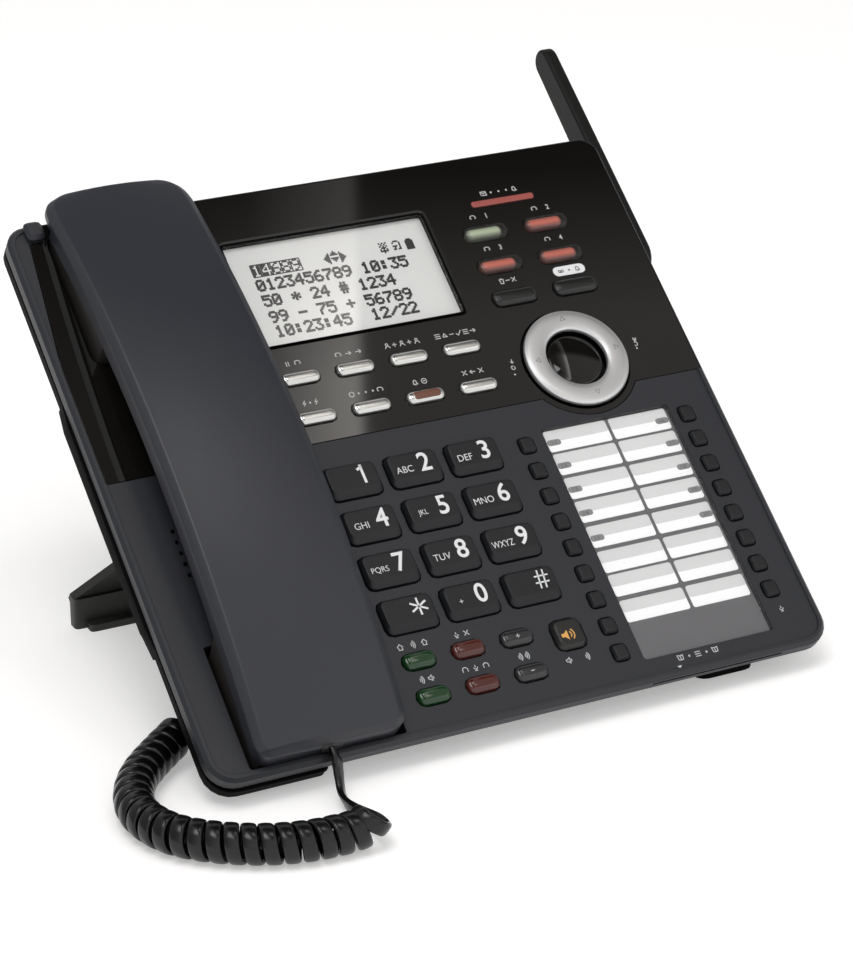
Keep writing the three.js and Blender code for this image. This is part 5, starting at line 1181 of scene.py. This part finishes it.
def makeAerial(values):
    inside, outside, edge = values["inside"], values["outside"], values["edge"]
    rings = [aerialRing(values, x, inset) for x, inset in
             ((inside, edge * 1.8), (inside, edge), (inside + edge, 0), (outside - edge, 0), (outside, edge),
              (outside, edge * 1.8))]
    blade = closedRings(softCorners(rings, [0.5] * 4))
    angles = roundAngles(32)
    pin = [np.column_stack([np.full(32, x), values["root"][0] + values["pinRadius"] * np.cos(angles),
                            values["root"][1] + values["pinRadius"] * np.sin(angles)])
           for x in (values["pinInside"], inside + 0.5)]
    shape = joinShapes([blade, closedRings(np.array(pin))])
    facePiece("aerial_blade", shape, "aerial", "aerial_body", ["antenna"], 40)


makeAerial(aerial)

# directory card: a grey sheet with pale and white cells, under a clear cover
card = {
    "sheet": (42.7, 90.7, 0.6, 96.2, 1.6), "top": -1.5, "thickness": 0.5,
    "cover": (42.6, 90.8, 8.31, 96.4, 1.1), "coverLow": -1.2,
    "pillSpans": [(43.3, 48.4), (84.9, 89.9)], "pillDown": 4.6, "pillHalf": 1.1, "number": (1.35, 1.3, 0.01),
    "rowTops": [96.2, 87.2, 77.8, 68.6, 58.9, 49.3, 40.3, 30.6], "cell": 8.1, "pale": 4.3,
    "columns": [(43.2, 66.9), (68.1, 89.9)], "corner": 0.9, "print": 0.03,
}


def makeCard(values):
    sheet = plate(roundedBox(*values["sheet"], 0, 4), values["top"] - values["thickness"], values["top"])
    facePiece("card_sheet", sheet, "cardGrey", "card_body", ["directory_card"])
    low, high = values["top"] - 0.01, values["top"] + values["print"]
    white, pale = [], []
    for top in values["rowTops"]:
        for left, right in values["columns"]:
            bottom = top - values["cell"]
            white.append(plate(roundedBox(left, right, bottom, top, values["corner"], 0, 4), low, high))
            pale.append(plate(roundedBox(left, right, top - values["pale"], top, values["corner"], 0, 4),
                              high - 0.01, high + 0.02))
    facePiece("card_white_cells", joinShapes(white), "cardWhite", "card_body")
    facePiece("card_pale_cells", joinShapes(pale), "cardPale", "card_body")
    pills, numbers = [], []
    for row, top in enumerate(values["rowTops"][:5]):
        for column, (left, right) in enumerate(values["pillSpans"]):
            y, half = top - values["pillDown"], values["pillHalf"]
            pills.append(plate(roundedBox(left, right, y - half, y + half, 1.0, 0, 5), high, high + 0.05))
            numbers.append(letterShape(f"{row + 11 + column * 5}", (left + right) / 2, y, *values["number"],
                                       high + 0.04, high + 0.07))
    facePiece("card_pills", joinShapes(pills), "pill", "card_body")
    facePiece("card_numbers", joinShapes(numbers), "cardDark", "card_body")
    cover = plate(roundedBox(*values["cover"], 0, 4), values["coverLow"], 0.0)
    facePiece("card_cover", cover, "cover", "base", ["directory_card_cover"], 50)


makeCard(card)
print("stage: card and aerial")

# printed signs, as bodies a few hundredths of a millimetre high
signs = {
    "high": 0.03,
    "stroke": 0.30,
    "iconHeight": 2.05, "smallIcon": 1.6, "keyIcon": 1.7, "pillIcon": 2.0,
    "receiverLeft": 5.2, "lineDigit": (2.0, 0.85, 0.02),
    "ringScale": 1.15, "ringLine": 0.2, "ringLow": 2.46, "ringHigh": 2.58,
    "hornPlace": (-1.0, -0.8), "hornScale": 1.3, "waveLine": 0.45, "waves": (1.3, 2.3),
    "digitHeight": 6.9, "digitWide": 0.93, "digitWeight": 0.016, "digitPlace": (3.65, 1.2),
    "groupHeight": 2.4, "groupWide": 0.92, "groupWeight": 0.0, "groupPlace": (-3.9, -0.4),
}


def arc(x, y, radius, start, end, count=12):
    # points on a circle between two angles in degrees
    angles = np.radians(np.linspace(start, end, count))
    return np.column_stack([x + radius * np.cos(angles), y + radius * np.sin(angles)])


icons = {
    "pause": [[(0.3, 0.05), (0.3, 0.95)], [(0.7, 0.05), (0.7, 0.95)]],
    "right": [[(0, 0.5), (0.95, 0.5)], [(0.6, 0.85), (0.98, 0.5), (0.6, 0.15)]],
    "left": [[(1, 0.5), (0.05, 0.5)], [(0.4, 0.85), (0.02, 0.5), (0.4, 0.15)]],
    "person": [arc(0.5, 0.72, 0.22, 0, 345), arc(0.5, 0.0, 0.42, 0, 180)],
    "lines": [[(0, 0.12), (1, 0.12)], [(0, 0.5), (1, 0.5)], [(0, 0.88), (1, 0.88)]],
    "tick": [[(0.02, 0.5), (0.35, 0.1), (1, 0.95)]],
    "bolt": [[(0.7, 1), (0.3, 0.48), (0.72, 0.52), (0.3, 0)]],
    "turn": [arc(0.5, 0.48, 0.42, 40, 330), [(0.55, 0.98), (0.9, 0.8), (0.95, 0.38)]],
    "bar": [arc(0.5, 0.5, 0.45, 0, 350, 18), [(0.25, 0.5), (0.75, 0.5)]],
    "cross": [[(0.1, 0.08), (0.9, 0.92)], [(0.1, 0.92), (0.9, 0.08)]],
    "receiver": [[(0, 0.3), (0.06, 0.72), (0.3, 0.88), (0.7, 0.88), (0.94, 0.72), (1, 0.3)],
                 [(-0.06, 0.3), (0.22, 0.3)], [(0.78, 0.3), (1.06, 0.3)]],
    "bell": [[(0.1, 0.2), (0.22, 0.4), (0.25, 0.75), (0.5, 0.95), (0.75, 0.75), (0.78, 0.4), (0.9, 0.2),
              (0.12, 0.2)], [(0.42, 0.02), (0.58, 0.02)]],
    "plus": [[(0.1, 0.5), (0.9, 0.5)], [(0.5, 0.1), (0.5, 0.9)]],
    "minus": [[(0.1, 0.5), (0.9, 0.5)]],
    "mic": [[(0.5, 0.55), (0.5, 0.95)], arc(0.5, 0.55, 0.32, 180, 360), [(0.5, 0.22), (0.5, 0.0)],
            [(0.25, 0.0), (0.75, 0.0)]],
    "head": [arc(0.5, 0.45, 0.45, 0, 180), [(0.08, 0.45), (0.08, 0.1)], [(0.92, 0.45), (0.92, 0.1)]],
    "waves": [arc(0.1, 0.5, 0.3, -50, 50, 8), arc(0.1, 0.5, 0.58, -50, 50, 8), arc(0.1, 0.5, 0.86, -50, 50, 8)],
    "horn": [[(0, 0.32), (0, 0.68), (0.25, 0.68), (0.6, 0.98), (0.6, 0.02), (0.25, 0.32), (0.02, 0.32)],
             arc(0.6, 0.5, 0.28, -55, 55, 8)],
    "letter": [[(0, 0.12), (0, 0.88), (1, 0.88), (1, 0.12), (0.02, 0.12)], [(0.03, 0.85), (0.5, 0.42),
                                                                           (0.97, 0.85)]],
    "bin": [[(0.05, 0.82), (0.95, 0.82)], [(0.18, 0.8), (0.26, 0.02), (0.74, 0.02), (0.82, 0.8)],
            [(0.38, 0.98), (0.62, 0.98)]],
    "dot": [arc(0.5, 0.5, 0.12, 0, 340, 8)],
    "up": [[(0.1, 0.2), (0.5, 0.85), (0.9, 0.2), (0.12, 0.2)]],
    "step": [[(0.05, 0.1), (0.55, 0.5), (0.05, 0.9)], [(0.45, 0.1), (0.95, 0.5), (0.45, 0.9)]],
    "house": [[(0, 0.5), (0.5, 0.98), (1, 0.5)], [(0.2, 0.5), (0.2, 0.02), (0.8, 0.02), (0.8, 0.5)]],
    "book": [[(0.5, 0.1), (0.5, 0.85)], [(0.5, 0.1), (0.1, 0.2), (0.02, 0.95), (0.5, 0.85), (0.98, 0.95),
                                         (0.9, 0.2), (0.52, 0.1)]],
    "reel": [arc(0.22, 0.5, 0.22, 0, 350), arc(0.78, 0.5, 0.22, 0, 350), [(0.2, 0.26), (0.8, 0.26)]],
}


def iconShapes(names, x, y, height, high=signs["high"], width=None, turned=0.0, low=-0.01):
    # a row of signs about a middle, spread over a width where one is given, turned in degrees
    pitch = (width - height) / max(len(names) - 1, 1) if width else 0.0
    c, s = math.cos(math.radians(turned)), math.sin(math.radians(turned))
    shapes = []
    for i, name in enumerate(names):
        for stroke in icons[name]:
            flat = (np.array(stroke) - 0.5) * height + [(i - (len(names) - 1) / 2) * pitch, 0]
            flat = np.column_stack([flat[:, 0] * c - flat[:, 1] * s, flat[:, 0] * s + flat[:, 1] * c])
            shapes.append(ribbon(flat + [x, y], signs["stroke"], low, high))
    return shapes


def makeSigns(name, shapes, look, body):
    facePiece(name, joinShapes(shapes), look, body, sharp=30)


# digits and letter groups on the dial keys
groups = {"2": "ABC", "3": "DEF", "4": "GHI", "5": "JKL", "6": "MNO", "7": "PQRS", "8": "TUV", "9": "WXYZ",
          "0": "+"}
# signs drawn in strokes: their lines, their width against their height and the width of a stroke
drawn = {
    "star": ([[(0.5, 0.05), (0.5, 0.95)], [(0.1, 0.28), (0.9, 0.72)], [(0.1, 0.72), (0.9, 0.28)]], 1, 0.7),
    "1": ([[(0.5, 0.0), (0.5, 1.0)], [(0.56, 0.9), (0.28, 0.74)]], 1, 0.95),
    "hash": ([[(0.3, 0.02), (0.42, 0.98)], [(0.62, 0.02), (0.74, 0.98)], [(0.08, 0.33), (0.92, 0.33)],
              [(0.12, 0.67), (0.96, 0.67)]], 0.86, 0.56),
}


def onTop(kind):
    # the foot and the top of a sign printed on a key
    return keys[kind]["rise"] - 0.01, keys[kind]["rise"] + signs["high"]


for name, (x, y) in zip(dialNames, dialPlaces):
    place = [x + signs["digitPlace"][0], y + signs["digitPlace"][1]]
    height = signs["digitHeight"]
    if name in drawn:
        lines, wide, stroke = drawn[name]
        shapes = [ribbon((np.array(line) - 0.5) * [height * wide, height] + place, stroke, *onTop("dial"))
                  for line in lines]
    else:
        shapes = [letterShape(name, *place, height, signs["digitWide"], signs["digitWeight"], *onTop("dial"))]
    if name in groups:
        height = signs["groupHeight"] * (0.6 if groups[name] == "+" else 1)
        wide = signs["groupWide"] * (0.82 if name == "9" else 1)
        shapes.append(letterShape(groups[name], x + signs["groupPlace"][0], y + signs["groupPlace"][1],
                                  height, wide, signs["groupWeight"], *onTop("dial")))
    makeSigns(f"dial_sign_{name}", shapes, "digit", f"dial_key_{name}_body")

# signs on the panel: function keys, lines and message lamp
panelRows = [
    ("pause receiver", -32.3, 138.3, 5.6), ("receiver right right", -12.1, 138.3, 9.4),
    ("person plus person plus person", 7.7, 138.3, 13.0), ("lines up minus tick lines right", 27.6, 138.3, 15.2),
    ("bolt dot bolt", -31.8, 122.8, 6.2), ("turn dot dot dot receiver", -11.7, 122.8, 12.4),
    ("bell bar", 8.0, 122.8, 5.4), ("cross left cross", 27.8, 122.8, 8.2),
    ("letter dot dot dot bell", 66.2, 190.7, 14.0), ("bin minus cross", 54.7, 155.0, 6.6),
]
panelShapes = []
for names, x, y, width in panelRows:
    panelShapes += iconShapes(names.split(), x, y, signs["iconHeight"], width=width)
for digit, x, y in (("1", 57.6, 181.8), ("2", 81.4, 181.3), ("3", 57.6, 168.5), ("4", 81.1, 168.3)):
    panelShapes += iconShapes(["receiver"], x - signs["receiverLeft"], y, signs["iconHeight"])
    panelShapes.append(letterShape(digit, x, y, *signs["lineDigit"], -0.01, signs["high"]))
for names, x, y, width, turned in (("step receiver dot", 90.1, 121.6, 5.2, -100),
                                   ("dot turn left", 42.6, 121.3, 6.8, 80)):
    panelShapes += iconShapes(names.split(), x, y, signs["smallIcon"], width=width, turned=turned)
makeSigns("panel_signs", panelShapes, "print", "base")
pill = plate(roundedBox(72.4, 84.7, 152.9, 156.7, 1.85, 0, 8), -0.01, signs["high"])
makeSigns("panel_pill", [pill], "digit", "base")
pillSigns = iconShapes(["reel", "dot", "bell"], 78.55, 154.8, signs["pillIcon"], signs["high"] * 2, width=8.4,
                       low=signs["high"] - 0.01)
makeSigns("pill_sign", pillSigns, "cardDark", "base")

# signs on the deck: command keys, loudspeaker key, card and microphone
deckRows = [
    ("house waves house", -31.7, 31.3, 10.5), ("mic cross", -14.4, 31.2, 5.6),
    ("waves horn", -31.7, 18.9, 5.6), ("head mic head", -14.4, 18.9, 9.4),
    ("waves waves", 2.6, 18.9, 4.4), ("horn waves", 20.4, 13.9, 8.4),
    ("book dot lines dot book", 61.2, 5.9, 15.0), ("mic", 97.2, 14.6, None),
]
deckShapes = []
for names, x, y, width in deckRows:
    deckShapes += iconShapes(names.split(), x, y, signs["iconHeight"], width=width)
deckShapes.append(plate([(52.2, 3.4), (53.1, 2.4), (54.0, 3.4)], -0.01, signs["high"]))
makeSigns("deck_signs", deckShapes, "print", "base")
for node, sign, place in (("volume_up_key", "plus", commandPlaces[2]),
                          ("volume_down_key", "minus", commandPlaces[5])):
    low, high = onTop("command")
    makeSigns(f"{node}_sign", iconShapes([sign], *place, signs["keyIcon"], high, low=low), "print",
              f"{node}_body")
hornPlace = np.array([speakerX, speakerY]) + signs["hornPlace"]
horn = np.array([(-1.7, -0.5), (-0.9, -0.5), (0.1, -1.4), (0.1, 1.4), (-0.9, 0.5), (-1.7, 0.5)])
horn = horn * signs["hornScale"]
waves = [ribbon(arc(*hornPlace, radius, -50, 50, 8), signs["waveLine"], *onTop("speaker"))
         for radius in signs["waves"]]
makeSigns("speaker_sign", [plate(horn + hornPlace, *onTop("speaker")), *waves], "amber",
          "speaker_key_body")
ringArrows = {
    (66.3, 135.0): [(-0.8, -0.5), (0.8, -0.5), (0, 0.8)],
    (81.0, 120.6): [(-0.5, 0.8), (-0.5, -0.8), (0.8, 0)],
    (51.2, 121.0): [(0.5, -0.8), (0.5, 0.8), (-0.8, 0)],
    (67.2, 105.3): [(0.8, 0.5), (-0.8, 0.5), (0, -0.8)],
}
ringMarks = [ribbon(np.array(points) * signs["ringScale"] + place, signs["ringLine"], signs["ringLow"],
                    signs["ringHigh"], True) for place, points in ringArrows.items()]
makeSigns("ring_signs", ringMarks, "ringSign", "nav_ring_body")
print("stage: signs")
